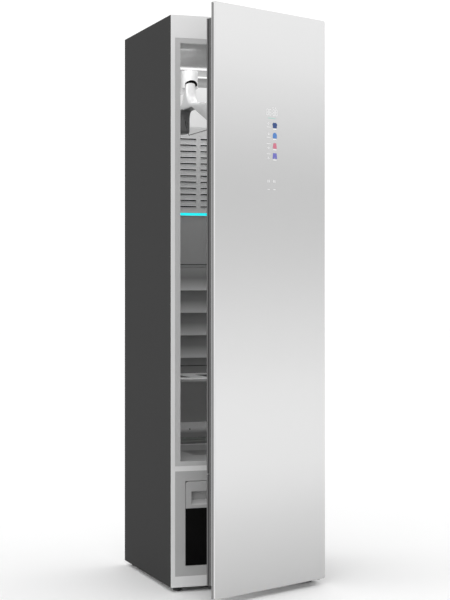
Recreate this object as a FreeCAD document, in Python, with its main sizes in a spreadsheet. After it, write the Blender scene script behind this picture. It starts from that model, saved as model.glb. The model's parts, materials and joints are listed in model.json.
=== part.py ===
"""Clothes care steam cabinet, with its full-height glass door standing ajar.

Frame: +Z up, the front faces -Y, X to the right. The origin is on the floor, under the middle of
the whole outline. Sizes are in millimetres and angles in degrees.

Driving sizes are cells of the sheet Sizes. Every worked-out place is a Measure: a number that
remembers the formula it came from, so that each object's properties can be bound to the sheet.
"""
import FreeCAD, Part
import math
import os

from FreeCAD import Placement, Rotation, Vector
import Sketcher

SIZES = [
    # cabinet body
    ("body_width", 517, "side panel to side panel"),
    ("body_depth", 544, "front frame to rear panel"),
    ("body_height", 1833, "base to top panel"),
    ("foot_height", 15, "floor to base"),
    ("skin", 1.2, "outer sheet steel"),
    ("skin_return", 12, "edge turned in on the side panels"),
    ("frame_sheet", 1.5, "front frame sheet steel"),
    ("flange_width", 14, "light upright flange at each side"),
    ("flange_leg", 30, "leg of that flange, towards the rear"),
    ("rail_depth", 25, "rails and header, front to rear"),
    ("header_height", 73, "light header over the opening"),
    ("middle_rail_height", 16.5, "rail under the opening"),
    ("bottom_rail_height", 35, "rail over the base"),
    ("machine_room_height", 388, "base to the top of the middle rail"),
    ("rear_sheet", 1, "rear panel"),
    ("duct_margin", 8, "slots to the side of the air duct"),
    ("duct_depth", 20, "air duct behind the chamber, front to rear"),
    ("base_rim", 20, "upturned rim of the base pan"),
    # opening trim and chamber
    ("trim_side", 18, "trim face at the sides"),
    ("trim_top", 15.5, "trim face at the top"),
    ("trim_bottom", 15, "trim face at the bottom"),
    ("trim_sheet", 3, "thickness of the trim face"),
    ("trim_inset", 0.5, "trim face behind the flanges"),
    ("trim_lip", 18, "trim lip, front to rear"),
    ("trim_lip_wall", 2, "thickness of the trim lip"),
    ("liner", 3, "chamber wall plastic"),
    ("rear_space", 44, "chamber's back panels to the back of the cabinet"),
    ("deck_sheet", 1.5, "deck under the chamber"),
    # vented back panel
    ("vent_rows", 12, "slots in a column"),
    ("vent_pitch", 21.75, "slot to slot"),
    ("vent_slot_height", 4.4, "clear height of a slot"),
    ("vent_slot_length", 150, "length of a slot"),
    ("vent_column_gap", 16.6, "between the two columns"),
    ("vent_top", 346.5, "top of the cabinet to the centre of the top slot"),
    ("vent_lip", 3, "lip under a slot, towards the front"),
    ("vent_lip_height", 2.4, "lip under a slot, top to bottom"),
    ("vent_lip_fall", 1, "fall of a lip towards the front"),
    ("vent_lip_gap", 0.4, "slot edge to its lip"),
    # light strips
    ("glow_height", 9.2, "cyan light strip"),
    ("glow_bottom", 617.6, "top of the cabinet to the underside of the cyan strip"),
    ("glow_thickness", 4, "cyan strip, front to rear"),
    ("lamp_drop", 6, "ceiling to the white lamp"),
    ("lamp_height", 6.5, "white lamp, top to bottom"),
    ("lamp_depth", 10, "white lamp, front to rear"),
    ("picture_rail_top", 125, "top of the cabinet to the light ledge over the slots"),
    ("picture_rail_height", 5.6, "light ledge, top to bottom"),
    ("picture_rail_depth", 8, "light ledge, front to rear"),
    # scalloped back panel
    ("scallop_count", 4, "shingles of the lower back panel"),
    ("scallop_pitch", 79.5, "shingle to shingle"),
    ("scallop_low_edge", 1121, "top of the cabinet to the lowest shingle edge"),
    ("scallop_reach", 18, "how far a shingle edge stands out"),
    ("scallop_radius", 190, "curve of a shingle's face"),
    ("scallop_edge", 0.6, "fall of a shingle's underside"),
    ("scallop_step", 5, "plain step over the shingles"),
    ("scallop_step_top", 791.3, "top of the cabinet to the top of that step"),
    ("panel_wall", 3, "wall of the back panels"),
    # steam outlet at the foot of the back panel
    ("hood_top", 483, "top of the outlet hood above the base"),
    ("hood_front_height", 30, "hood front, top to bottom"),
    ("hood_drop", 18, "fall of the hood's top towards the front"),
    ("hood_reach", 46, "hood, front to rear"),
    ("hood_wall", 3, "wall of the hood"),
    ("nozzle_radius", 9, "steam nozzle tube"),
    ("nozzle_bore", 6, "bore of the nozzle tube"),
    ("nozzle_slot", 2, "steam slot of the nozzle tube"),
    ("nozzle_length", 250, "nozzle tube, side to side"),
    ("nozzle_end", 12, "closed ends of the nozzle's slot"),
    ("nozzle_height", 424, "centre of the nozzle above the base"),
    # shelf
    ("shelf_top", 658, "shelf surface above the base"),
    ("shelf_sheet", 3, "shelf plate"),
    ("shelf_rim", 12, "shelf rim, top to bottom"),
    ("shelf_rim_wall", 3, "thickness of the rim"),
    ("shelf_front", 194, "front frame to the shelf's rim"),
    ("shelf_rear_gap", 2, "shelf to the shingles' edges"),
    ("shelf_side_gap", 1.5, "shelf to a chamber wall"),
    ("shelf_slots", 3, "cut-outs in the shelf"),
    ("shelf_slot_width", 104, "a cut-out, side to side"),
    ("shelf_bridge", 56, "between two cut-outs"),
    ("shelf_slot_front", 45, "cut-outs to the front rim"),
    ("shelf_slot_rear", 77, "cut-outs to the rear rim"),
    ("ledge_width", 12, "ledge that carries the shelf"),
    ("ledge_height", 9, "ledge, top to bottom"),
    ("seat_gap", 0.3, "pieces that only rest on each other"),
    # lint filter and chamber floor
    ("filter_width", 250, "lint filter, side to side"),
    ("filter_depth", 150, "lint filter, front to rear"),
    ("filter_seat", 6, "deck under the filter's edge"),
    ("filter_wall", 3, "wall of the filter's rim"),
    ("filter_front", 170, "front frame to the filter"),
    ("filter_rim", 10, "rim of the filter"),
    ("filter_rows", 9, "slots of the filter grille"),
    ("filter_slot", 7, "a slot of the filter grille, front to rear"),
    ("filter_clearance", 1, "filter to its seat, all round"),
    # air arms and hangers
    ("hanger_spacing", 234, "left hanger to right hanger"),
    ("neck_share", 0.486, "hanger necks, as a share of the chamber's depth"),
    ("arm_width", 57, "air arm, side to side"),
    ("arm_bottom", 202, "top of the cabinet to the underside of the air arms"),
    ("arm_height", 58, "air arm, top to bottom"),
    ("socket_width", 43, "arched socket in the arm's nose"),
    ("socket_height", 25, "socket, top to bottom"),
    ("socket_depth", 52, "socket, front to rear"),
    ("socket_rise", 10, "rise of the socket's arch"),
    ("socket_arch", 28.1, "radius of the socket's arch"),
    ("pivot_radius", 3, "pivot pin in the socket"),
    ("pivot_end", 1, "pivot pin in front of the neck"),
    ("pivot_clearance", 0.05, "pivot pin to its bore"),
    ("pivot_drop", 10, "socket roof to the pivot axis"),
    ("neck_crown", 1.5, "neck above its pivot bore"),
    ("neck_straight", 19, "pivot to where the neck starts to widen"),
    ("neck_bevel", 9, "bevel at each side of the neck's top, side to side"),
    ("neck_slope", 6, "that bevel, top to bottom"),
    ("neck_length", 34, "hanger neck, front to rear"),
    ("reach_share", 0.474, "neck to a hanger tip, as a share of the chamber's depth"),
    ("hanger_thickness", 34, "hanger arms, side to side"),
    ("shoulder_drop", 67, "pivot to the shoulder line"),
    ("shoulder_reach", 65, "neck to where the shoulders level out"),
    ("shoulder_curve", 48, "radius of the curve from neck to shoulder"),
    ("shoulder_fall", 8, "fall of the shoulder towards its tip"),
    ("apex_drop", 86, "pivot to the hanger's middle underside"),
    ("apex_front", 72, "neck to where the underside starts to fall in front"),
    ("apex_rear", 112, "neck to where the underside starts to fall at the rear"),
    ("tip_drop", 148, "pivot to a tip's underside"),
    ("tip_heel", 6, "rounding under the tips"),
    ("tip_round", 16, "rounding of the tips"),
    ("clip_front", 45, "neck to the front of the trouser arm, which hangs behind it"),
    ("clip_rear", 100, "neck to the rear of the trouser arm"),
    ("clip_flare", 27, "curve from the trouser arm's front up to its top"),
    ("clip_heel", 6, "slope of the trouser arm's rear edge"),
    ("clip_height", 75, "trouser arm, top to bottom"),
    ("clip_thickness", 36, "trouser arm, side to side"),
    ("bar_drop", 173, "pivot to the trouser bar"),
    ("bar_front", 196, "neck to the trouser bar's free end"),
    ("bar_wire", 3.2, "trouser bar wire"),
    ("bar_foot", 8, "neck to the foot of the bar's slanted leg"),
    ("bar_eye_drop", 118, "pivot to where the trouser arm holds the leg"),
    # door
    ("door_ajar", 26.18, "how far the door stands open"),
    ("hinge_inset", 22, "door edge to the hinge axis"),
    ("hinge_setback", 9, "door face to the hinge axis"),
    ("door_standoff", 45.4, "front frame to the closed door's face"),
    ("door_rise", 2, "door above the top panel"),
    ("door_lift", 6, "door above the base"),
    ("glass", 4, "door glass"),
    ("glass_corner", 5, "corner radius of the glass"),
    ("door_trim_depth", 7.5, "trim frame behind the glass"),
    ("door_trim_inset", 1, "glass edge to the trim frame"),
    ("door_trim_width", 11, "trim frame, seen from the rear"),
    ("inner_inset", 12, "door edge to the inner panel"),
    ("inner_top", 48, "door top to the inner panel"),
    ("inner_bottom", 39, "door bottom to the inner panel"),
    ("inner_depth", 15, "inner panel, front to rear"),
    ("inner_step", 2, "inner panel's edge to its narrower front"),
    ("inner_wall", 2, "wall of the inner panel"),
    ("pillow_inset", 26, "inner panel edge to its raised field"),
    ("pillow_corner", 14, "corner radius of the raised field"),
    ("pillow_depth", 5, "raised field of the inner panel"),
    ("gasket_width", 15, "gasket, seen from the rear"),
    ("gasket_depth", 16, "gasket, front to rear"),
    ("gasket_split", 387, "where the two gaskets meet, above the base"),
    ("gasket_gap", 3, "between the two gaskets"),
    ("display_width", 90, "display module"),
    ("display_height", 300, "display module, top to bottom"),
    ("display_depth", 9, "display module, front to rear"),
    ("display_top", 300, "door top to the display module"),
    ("display_centre", 258, "hinge axis to the middle of the display module"),
    # hinges
    ("hinge_pin_radius", 3, "hinge pins"),
    ("hinge_clearance", 0.05, "hinge pin to its bush"),
    ("hinge_leaf", 3, "hinge plate thickness"),
    ("hinge_leaf_width", 60, "hinge plate, side to side"),
    ("hinge_leaf_height", 26, "hinge plate, top to bottom"),
    ("hinge_arm_width", 9, "hinge arm and its rounded end"),
    ("hinge_arm_root", 18, "arm's middle line to its far side at the leaf"),
    ("hinge_arm_drop", 20, "door top to the upper hinge arm"),
    ("hinge_arm_sweep", 30, "how far the arm's root lies inward of the axis"),
    ("hinge_slot_room", 2, "slot in the trim over and under the hinge arm"),
    ("hinge_gap", 0.5, "hinge arm to the door's bush"),
    ("bush_width", 20, "hinge bush, side to side"),
    ("bush_setback", 1, "bush inside the inner panel's edge"),
    ("bush_depth", 16, "hinge bush, front to rear"),
    ("pin_reach", 15, "hinge pin inside the bush"),
    # lower front and tanks
    ("tank_margin", 36, "flange to the tank's side"),
    ("tank_gap", 17, "between the two tanks"),
    ("tank_bottom", 69, "underside of a tank's front above the base"),
    ("tank_split", 251.6, "top of the black tank front above the base"),
    ("tank_top", 338, "top of the grip cover above the base"),
    ("tank_depth", 190, "tank, front to rear"),
    ("tank_wall", 2.5, "wall of a tank"),
    ("tank_clearance", 1.5, "tank to the front panel, all round"),
    ("tank_corner", 10, "corner radius of the grip cover"),
    ("grip_cover_depth", 40, "grip cover, front to rear"),
    ("grip_margin", 19, "tank side to the grip"),
    ("grip_bottom", 262, "underside of the grip above the base"),
    ("grip_top", 305, "top of the grip above the base"),
    ("grip_pocket", 12, "grip's rise behind its lip"),
    ("grip_lip", 8, "lip of the grip, front to rear"),
    ("grip_depth", 26, "grip, front to rear"),
    ("panel_plastic", 2.5, "lower front panel"),
    ("panel_collar", 14, "collar round a tank, front to rear"),
    ("tray_sheet", 2, "tray under the tanks"),
    ("tray_clearance", 0.3, "tank to its tray"),
    ("tray_margin", 8, "tank's side to the tray's folded side"),
    ("lid_height", 5, "tank lid"),
    ("cap_radius", 19, "filler cap"),
    ("cap_height", 11, "filler cap"),
    # machine room
    ("boiler_width", 120, "steam generator, side to side"),
    ("boiler_depth", 95, "steam generator, front to rear"),
    ("boiler_height", 120, "steam generator, top to bottom"),
    ("boiler_outlet", 3, "depth of the steam outlet in the generator"),
    ("boiler_round", 14, "rounding of the steam generator"),
    ("steam_pipe_radius", 8, "steam pipe"),
    ("steam_pipe_gap", 0.5, "steam pipe to its holes"),
    ("steam_pipe_wall", 2, "wall of the steam pipe"),
    ("feed_pipe_radius", 4, "water pipe from the pump"),
    ("pump_radius", 24, "water pump"),
    ("pump_length", 62, "water pump"),
    ("pump_gap", 2, "pump to the steam generator"),
    ("pump_foot", 38, "pump's foot, front to rear"),
    ("pump_foot_inset", 8, "pump's end to its foot"),
    ("compressor_radius", 62, "compressor shell"),
    ("compressor_height", 178, "compressor, with its rounded top"),
    ("compressor_side_gap", 26, "compressor to the right skin"),
    ("compressor_rear_gap", 16, "compressor to the rear panel"),
    ("compressor_dome", 37, "rise of the domed top"),
    ("compressor_foot_reach", 34, "middle of the compressor to a foot, along X and Y"),
    ("compressor_foot_height", 12, "feet of the compressor, top to bottom"),
    ("compressor_foot", 22, "feet of the compressor, along X and Y"),
    ("machine_gap", 14, "tanks to the machines behind them"),
    ("coil_width", 210, "condenser and evaporator, side to side"),
    ("coil_height", 120, "condenser and evaporator, top to bottom"),
    ("coil_depth", 44, "condenser and evaporator, front to rear"),
    ("coil_fins", 13, "fins shown on a coil"),
    ("coil_side_gap", 24, "coil to the left skin"),
    ("coil_groove", 4, "bold fins over the pack of fins, front to rear"),
    ("coil_end_sheet", 3, "bold fin or end plate of a coil"),
    ("coil_pipe_radius", 5, "coil pipe"),
    ("coil_bend", 8, "coil pipe beyond the end fins"),
    ("fan_radius", 58, "fan impeller"),
    ("fan_width", 46, "fan impeller, axial"),
    ("fan_centre", 82, "middle of the cabinet to the fan axis"),
    ("fan_disc", 2, "disc of the impeller"),
    ("fan_hub_radius", 12, "hub of the impeller"),
    ("fan_hub_length", 16, "hub of the impeller"),
    ("fan_blades", 14, "fan blades"),
    ("fan_blade", 2, "thickness of a blade"),
    ("fan_blade_root", 41.8, "fan axis to a blade's inner edge"),
    ("fan_blade_tip", 56.8, "fan axis to a blade's outer edge"),
    ("fan_blade_lean", 8, "lean of a blade over its depth"),
    ("fan_shaft_gap", 1, "shaft to its hole in the housing"),
    ("fan_shaft_radius", 4, "fan shaft"),
    ("fan_clearance", 4, "impeller to its housing"),
    ("fan_wall", 2.5, "wall of the fan housing"),
    ("motor_radius", 32, "fan motor"),
    ("motor_length", 48, "fan motor"),
    ("box_width", 110, "control box, side to side"),
    ("box_height", 150, "control box, top to bottom"),
    ("box_depth", 40, "control box, front to rear"),
    # rear and feet
    ("louvre_rows", 8, "louvres in a column of the rear panel"),
    ("louvre_pitch", 16, "louvre to louvre"),
    ("louvre_length", 110, "a louvre"),
    ("louvre_height", 5, "clear height of a louvre"),
    ("louvre_bottom", 110, "lowest louvre above the base"),
    ("gland_radius", 9, "power inlet gland"),
    ("gland_neck", 7, "gland where it passes the rear panel"),
    ("gland_tail", 4, "gland in front of the rear panel"),
    ("gland_bore", 4, "hole for a lead in the gland"),
    ("gland_height", 62, "power inlet gland above the base"),
    ("gland_inset", 70, "power inlet gland from the right side"),
    ("gland_stub", 9, "power inlet gland behind the rear panel"),
    ("foot_radius", 15, "foot pad"),
    ("foot_hexagon", 12, "hexagon over the foot pad, centre to corner"),
    ("foot_pad", 9, "foot pad, top to bottom"),
    ("foot_inset", 32, "foot centre from the sides"),
    ("foot_setback", 34, "foot centre from the front and the rear"),
    ("foot_stem", 5, "levelling screw radius"),
    ("foot_stem_length", 26, "levelling screw"),
    ("foot_clearance", 0.05, "levelling screw to its hole"),
]

doc = FreeCAD.newDocument("SteamCabinet")
sheet = doc.addObject("Spreadsheet::Sheet", "Sizes")
for row, (alias, number, meaning) in enumerate(SIZES, start=1):
    sheet.set(f"A{row}", alias)
    sheet.set(f"B{row}", str(number))
    sheet.set(f"C{row}", meaning)
    sheet.setAlias(f"B{row}", alias)
doc.recompute()


class Measure(float):
    """A number with the sheet formula that gives it."""

    def __new__(cls, number, formula=None):
        self = super().__new__(cls, number)
        self.formula = formula or f"({float(number):.6f})"
        return self

    def __add__(self, other):
        return joined(self, "+", other, float(self) + float(other))

    def __sub__(self, other):
        return joined(self, "-", other, float(self) - float(other))

    def __mul__(self, other):
        return joined(self, "*", other, float(self) * float(other))

    def __truediv__(self, other):
        return joined(self, "/", other, float(self) / float(other))

    def __radd__(self, other):
        return joined(other, "+", self, float(other) + float(self))

    def __rsub__(self, other):
        return joined(other, "-", self, float(other) - float(self))

    def __rmul__(self, other):
        return joined(other, "*", self, float(other) * float(self))

    def __neg__(self):
        return joined(0, "-", self, -float(self))


def formula_of(value):
    """The sheet formula of a Measure or of a plain number."""
    return value.formula if isinstance(value, Measure) else f"({float(value):.6f})"


def joined(first, sign, second, number):
    """The Measure of two values and the sign between them."""
    return Measure(number, f"({formula_of(first)} {sign} {formula_of(second)})")


def sine(angle):
    """Sine of an angle in degrees."""
    return Measure(math.sin(math.radians(angle)), f"sin({formula_of(angle)} * 1 deg)")


def cosine(angle):
    """Cosine of an angle in degrees."""
    return Measure(math.cos(math.radians(angle)), f"cos({formula_of(angle)} * 1 deg)")


class SheetSizes:
    """The sheet's cells as Measures, read by their aliases."""

    def __getattr__(self, alias):
        return Measure(sheet.get(alias), f"Sizes.{alias}")


size = SheetSizes()


class Places:
    """Levels and faces that several pieces share."""

    left = -size.body_width / 2
    right = size.body_width / 2
    base = size.foot_height
    top = base + size.body_height

    hinge_out = size.door_standoff - size.hinge_setback
    door_reach = (
        hinge_out
        + (size.body_width - size.hinge_inset) * sine(size.door_ajar)
        + size.hinge_setback * cosine(size.door_ajar)
    )
    rear_reach = size.gland_stub - size.skin
    front = (door_reach - size.body_depth - rear_reach) / 2
    back = front + size.body_depth
    hinge_x = right - size.hinge_inset
    hinge_y = front - hinge_out

    skin_left = left + size.skin
    skin_right = right - size.skin
    flange_left = left + size.flange_width
    flange_right = right - size.flange_width
    behind_skin = back - size.skin
    behind_rear = behind_skin - size.rear_sheet

    glow = top - size.glow_bottom
    deck = base + size.machine_room_height
    header = top - size.header_height
    wall_left = flange_left + size.trim_side
    wall_right = flange_right - size.trim_side
    floor = deck + size.trim_bottom
    ceiling = header - size.trim_top
    chamber_back = back - size.rear_space
    neck = front + (chamber_back - front) * size.neck_share
    hanger_reach = (chamber_back - front) * size.reach_share
    shelf_back = chamber_back - size.scallop_reach - size.shelf_rear_gap
    panel_back = chamber_back + size.panel_wall
    lip_back = front + size.trim_lip

    door_bottom = base + size.door_lift
    door_top = top + size.door_rise
    door_right = size.hinge_inset
    door_left = size.hinge_inset - size.body_width
    glass_back = size.glass - size.hinge_setback
    trim_back = glass_back + size.door_trim_depth
    inner_back = trim_back + size.inner_depth
    gasket_back = inner_back + size.gasket_depth
    inner_low = door_bottom + size.inner_bottom
    inner_high = door_top - size.inner_top
    inner_left = door_left + size.inner_inset
    inner_right = door_right - size.inner_inset
    split = base + size.gasket_split

    tank_width = (size.body_width - (size.flange_width + size.tank_margin) * 2 - size.tank_gap) / 2
    tank_base = base + size.tank_bottom
    tank_back = front + size.tank_depth
    tray_top = tank_base - size.tray_clearance
    pan_floor = base + size.frame_sheet
    machines_front = tank_back + size.machine_gap
    deck_under = deck - size.deck_sheet
    steam_hole = size.steam_pipe_radius + size.steam_pipe_gap


at = Places
pieces = []


def bind(item, **values):
    """Set properties of an object to Measures; a double underscore stands for a dot."""
    for name, value in values.items():
        item.setExpression(name.replace("__", "."), formula_of(value))


def locate(item, x=0, y=0, z=0):
    """Bind an object's base point."""
    bind(item, Placement__Base__x=x, Placement__Base__y=y, Placement__Base__z=z)


# ---------------------------------------------------------------- outlines

def rectangle(u0, u1, v0, v1):
    """A closed outline with square corners: one (u, v, bulge) per corner."""
    return [(u0, v0, None), (u1, v0, None), (u1, v1, None), (u0, v1, None)]


def rounded(u0, u1, v0, v1, radius):
    """A rectangle whose four corners are arcs."""
    return [
        (u0 + radius, v0, None), (u1 - radius, v0, None), (u1, v0 + radius, radius),
        (u1, v1 - radius, None), (u1 - radius, v1, radius), (u0 + radius, v1, None),
        (u0, v1 - radius, radius), (u0, v0 + radius, None), (u0 + radius, v0, radius),
    ][1:]


def polygon(*points):
    """A closed outline through plain points."""
    return [(u, v, None) for u, v in points]


def circle(u, v, radius):
    """A round outline."""
    return (u, v, radius)


def arc_centre(start, end, radius):
    """Centre of the short arc that turns left from start to end."""
    middle = (start + end) * 0.5
    chord = end - start
    left = Vector(-chord.y, chord.x, 0).normalize()
    rise = math.sqrt(max(float(radius) ** 2 - (chord.Length / 2) ** 2, 0))
    return middle + left * rise


def draw_circle(sketch, u, v, radius):
    """A circle held by its centre and radius."""
    ring = sketch.addGeometry(Part.Circle(Vector(u, v, 0), Vector(0, 0, 1), float(radius)))
    hold_point(sketch, ring, 3, u, v)
    number = sketch.addConstraint(Sketcher.Constraint("Radius", ring, float(radius)))
    sketch.setExpression(f"Constraints[{number}]", formula_of(radius))


def hold_point(sketch, edge, end, u, v):
    """Hold one point of an edge at two formulas."""
    for kind, value in (("DistanceX", u), ("DistanceY", v)):
        number = sketch.addConstraint(Sketcher.Constraint(kind, -1, 1, edge, end, float(value)))
        sketch.setExpression(f"Constraints[{number}]", formula_of(value))


def draw_outline(sketch, outline):
    """A closed loop; a corner with a radius is reached by an arc, left-turning if positive."""
    count = len(outline)
    ends = []
    for index in range(count):
        u0, v0, _ = outline[index]
        u1, v1, radius = outline[(index + 1) % count]
        start, end = Vector(u0, v0, 0), Vector(u1, v1, 0)
        if radius is None:
            edge = sketch.addGeometry(Part.LineSegment(start, end))
            ends.append((edge, 1, 2))
            continue
        turn_left = float(radius) > 0
        first, last = (start, end) if turn_left else (end, start)
        centre = arc_centre(first, last, abs(float(radius)))
        ring = Part.Circle(centre, Vector(0, 0, 1), abs(float(radius)))
        angles = [math.atan2((p - centre).y, (p - centre).x) for p in (first, last)]
        edge = sketch.addGeometry(Part.ArcOfCircle(ring, angles[0], angles[1]))
        ends.append((edge, 1, 2) if turn_left else (edge, 2, 1))
        number = sketch.addConstraint(Sketcher.Constraint("Radius", edge, abs(float(radius))))
        sketch.setExpression(f"Constraints[{number}]", formula_of(radius if turn_left else -radius))
    for index in range(count):
        edge, start, _ = ends[index]
        before, _, end = ends[index - 1]
        sketch.addConstraint(Sketcher.Constraint("Coincident", before, end, edge, start))
        hold_point(sketch, edge, start, outline[index][0], outline[index][1])


# ---------------------------------------------------------------- bodies

PLANE_ROLES = {"XY": "XY_Plane", "XZ": "XZ_Plane", "YZ": "YZ_Plane"}


class Piece:
    """One sub-part, made of sketched features on its body's own origin planes."""

    def __init__(self, label):
        self.body = doc.addObject("PartDesign::Body", label)
        self.body.Label = label
        self.body.AllowCompound = True
        pieces.append(self.body)

    def origin(self, role):
        """One of the body's origin planes or axes."""
        return next(f for f in self.body.Origin.OriginFeatures if f.Role == role)

    def sketch(self, plane, level, outlines, centre=(0, 0)):
        """A sketch on an origin plane, moved to a level along that plane's normal."""
        sketch = self.body.newObject("Sketcher::SketchObject", self.body.Name + "_sketch")
        sketch.AttachmentSupport = [(self.origin(PLANE_ROLES[plane]), "")]
        sketch.MapMode = "FlatFace"
        height = -level if plane == "XZ" else level
        bind(sketch, AttachmentOffset__Base__x=centre[0], AttachmentOffset__Base__y=centre[1],
             AttachmentOffset__Base__z=height)
        for outline in outlines:
            if isinstance(outline, tuple):
                draw_circle(sketch, *outline)
            else:
                draw_outline(sketch, outline)
        return sketch

    def add(self, plane, start, end, *outlines):
        """Material between two levels."""
        sketch = self.sketch(plane, end if plane == "XZ" else start, outlines)
        pad = self.body.newObject("PartDesign::Pad", self.body.Name + "_pad")
        pad.Profile = sketch
        bind(pad, Length=end - start)
        return pad

    def cut(self, plane, start, end, *outlines):
        """A recess or hole between two levels."""
        sketch = self.sketch(plane, start if plane == "XZ" else end, outlines)
        pocket = self.body.newObject("PartDesign::Pocket", self.body.Name + "_pocket")
        pocket.Profile = sketch
        bind(pocket, Length=end - start)
        return pocket

    def turn(self, centre_x, centre_y, outline):
        """A solid turned about an upright axis; u is the radius, v the height."""
        sketch = self.sketch("XZ", centre_y, [outline], (centre_x, 0))
        turned = self.body.newObject("PartDesign::Revolution", self.body.Name + "_turned")
        turned.Profile = sketch
        turned.ReferenceAxis = (sketch, ["V_Axis"])
        turned.Angle = 360
        return turned

    def row(self, feature, axis, spacing, count):
        """Copies of a feature at an even spacing along an origin axis."""
        pattern = self.body.newObject("PartDesign::LinearPattern", self.body.Name + "_row")
        pattern.Originals = [feature]
        pattern.Direction = (self.origin(axis), [""])
        bind(pattern, Length=spacing * (count - 1), Occurrences=count)
        self.body.Tip = pattern
        return pattern

    def ring(self, feature, sketch, count):
        """Copies of a feature round a sketch's normal."""
        pattern = self.body.newObject("PartDesign::PolarPattern", self.body.Name + "_ring")
        pattern.Originals = [feature]
        pattern.Axis = (sketch, ["N_Axis"])
        pattern.Angle = 360
        bind(pattern, Occurrences=count)
        self.body.Tip = pattern
        return pattern

    def on_door(self):
        """Hang the piece on the door: its own origin is then the hinge axis."""
        locate(self.body, at.hinge_x, at.hinge_y)
        bind(self.body, Placement__Rotation__Angle=size.door_ajar)
        return self


# ---------------------------------------------------------------- cabinet shell

def make_side_panel(label, side):
    """Outer side: a skin with its front and rear edges turned in."""
    outer = at.left if side < 0 else at.right
    inner = outer - side * size.skin
    turned = outer - side * size.skin_return
    face = at.front + size.frame_sheet
    panel = Piece(label)
    panel.add("XY", at.base, at.top, polygon(
        (outer, face), (turned, face), (turned, face + size.skin), (inner, face + size.skin),
        (inner, at.behind_skin), (turned, at.behind_skin), (turned, at.back), (outer, at.back)))


def make_front_flange(label, side):
    """Light upright strip beside the opening, with a leg towards the rear."""
    outer = at.left if side < 0 else at.right
    inner = outer - side * size.flange_width
    leg = inner + side * size.frame_sheet
    flange = Piece(label)
    flange.add("XY", at.base, at.top, rectangle(
        *ordered(outer, inner), at.front, at.front + size.frame_sheet))
    flange.add("XY", at.base + size.base_rim, at.top - size.skin, rectangle(
        *ordered(inner, leg), at.front + size.frame_sheet, at.front + size.flange_leg))


def make_channel(label, bottom, top, upper=True, lower=True):
    """A front rail: a face with its upper and lower edges turned to the rear."""
    back = at.front + size.rail_depth
    face = at.front + size.frame_sheet
    outline = [(at.front, bottom)]
    if lower:
        outline += [(back, bottom), (back, bottom + size.frame_sheet), (face, bottom + size.frame_sheet)]
    else:
        outline += [(face, bottom)]
    if upper:
        outline += [(face, top - size.frame_sheet), (back, top - size.frame_sheet), (back, top)]
    else:
        outline += [(face, top)]
    outline += [(at.front, top)]
    rail = Piece(label)
    rail.add("YZ", at.flange_left, at.flange_right, polygon(*outline))


def make_header():
    """Light panel over the opening; its upper return lies under the top panel."""
    back = at.front + size.rail_depth
    face = at.front + size.frame_sheet
    under = at.top - size.skin
    header = Piece("header_panel")
    header.add("YZ", at.flange_left, at.flange_right, polygon(
        (at.front, at.header), (back, at.header), (back, at.header + size.frame_sheet),
        (face, at.header + size.frame_sheet), (face, under - size.frame_sheet),
        (back, under - size.frame_sheet), (back, under), (face, under), (face, at.top),
        (at.front, at.top)))


def make_top_panel():
    """Top cover between the side panels."""
    panel = Piece("top_panel")
    face = at.front + size.frame_sheet
    panel.add("XY", at.top - size.skin, at.top, rectangle(
        at.skin_left, at.skin_right, face + size.skin, at.behind_skin))
    panel.add("XY", at.top - size.skin, at.top, rectangle(
        at.flange_left, at.flange_right, face, face + size.skin))


def make_rear_panel():
    """Rear cover with two columns of louvres over the machines and a hole for the gland."""
    panel = Piece("rear_panel")
    panel.add("XZ", at.behind_rear, at.behind_skin, rectangle(
        at.skin_left, at.skin_right, at.base, at.top - size.skin))
    low = at.base + size.louvre_bottom
    for middle in (-size.body_width / 4, size.body_width / 4):
        slot = panel.cut("XZ", at.behind_rear, at.behind_skin, rectangle(
            middle - size.louvre_length / 2, middle + size.louvre_length / 2,
            low, low + size.louvre_height))
        panel.row(slot, "Z_Axis", size.louvre_pitch, size.louvre_rows)
    panel.cut("XZ", at.behind_rear, at.behind_skin, circle(
        at.right - size.gland_inset, at.base + size.gland_height, size.gland_neck))


def make_gland():
    """Power inlet gland: a grommet in the rear panel with a hole for a lead."""
    x, z = at.right - size.gland_inset, at.base + size.gland_height
    gland = Piece("power_inlet_gland")
    gland.add("XZ", at.behind_skin, at.behind_skin + size.gland_stub,
              circle(x, z, size.gland_radius), circle(x, z, size.gland_bore))
    gland.add("XZ", at.behind_rear - size.gland_tail, at.behind_skin,
              circle(x, z, size.gland_neck), circle(x, z, size.gland_bore))


def make_base_pan():
    """Steel tray that carries the machines, with a hole for each levelling screw."""
    pan = Piece("base_pan")
    front, wall = at.front + size.frame_sheet + size.skin, size.frame_sheet
    pan.add("XY", at.base, at.base + size.base_rim, rectangle(
        at.skin_left, at.skin_right, front, at.behind_rear))
    pan.cut("XY", at.pan_floor, at.base + size.base_rim, rectangle(
        at.skin_left + wall, at.skin_right - wall, front + wall, at.behind_rear - wall))
    hole = size.foot_stem + size.foot_clearance
    pan.cut("XY", at.base, at.pan_floor, *[circle(x, y, hole) for x, y in foot_places()])


def foot_places():
    """Centre of each levelling foot."""
    x = at.right - size.foot_inset
    front, rear = at.front + size.foot_setback, at.back - size.foot_setback
    return [(-x, front), (x, front), (-x, rear), (x, rear)]


def make_feet():
    """Levelling feet: a round pad, a hexagon for the spanner and a screw in one piece."""
    seat = at.base
    feet = Piece("levelling_feet")
    for x, y in foot_places():
        feet.turn(x, y, polygon(
            (0, 0), (size.foot_radius, 0), (size.foot_radius, size.foot_pad),
            (size.foot_stem, size.foot_pad), (size.foot_stem, seat + size.foot_stem_length),
            (0, seat + size.foot_stem_length)))
        corner = size.foot_hexagon
        flat = corner * sine(60)
        feet.add("XY", size.foot_pad, seat, polygon(
            (x + corner, y), (x + corner / 2, y + flat), (x - corner / 2, y + flat),
            (x - corner, y), (x - corner / 2, y - flat), (x + corner / 2, y - flat)))


# ---------------------------------------------------------------- chamber

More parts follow.
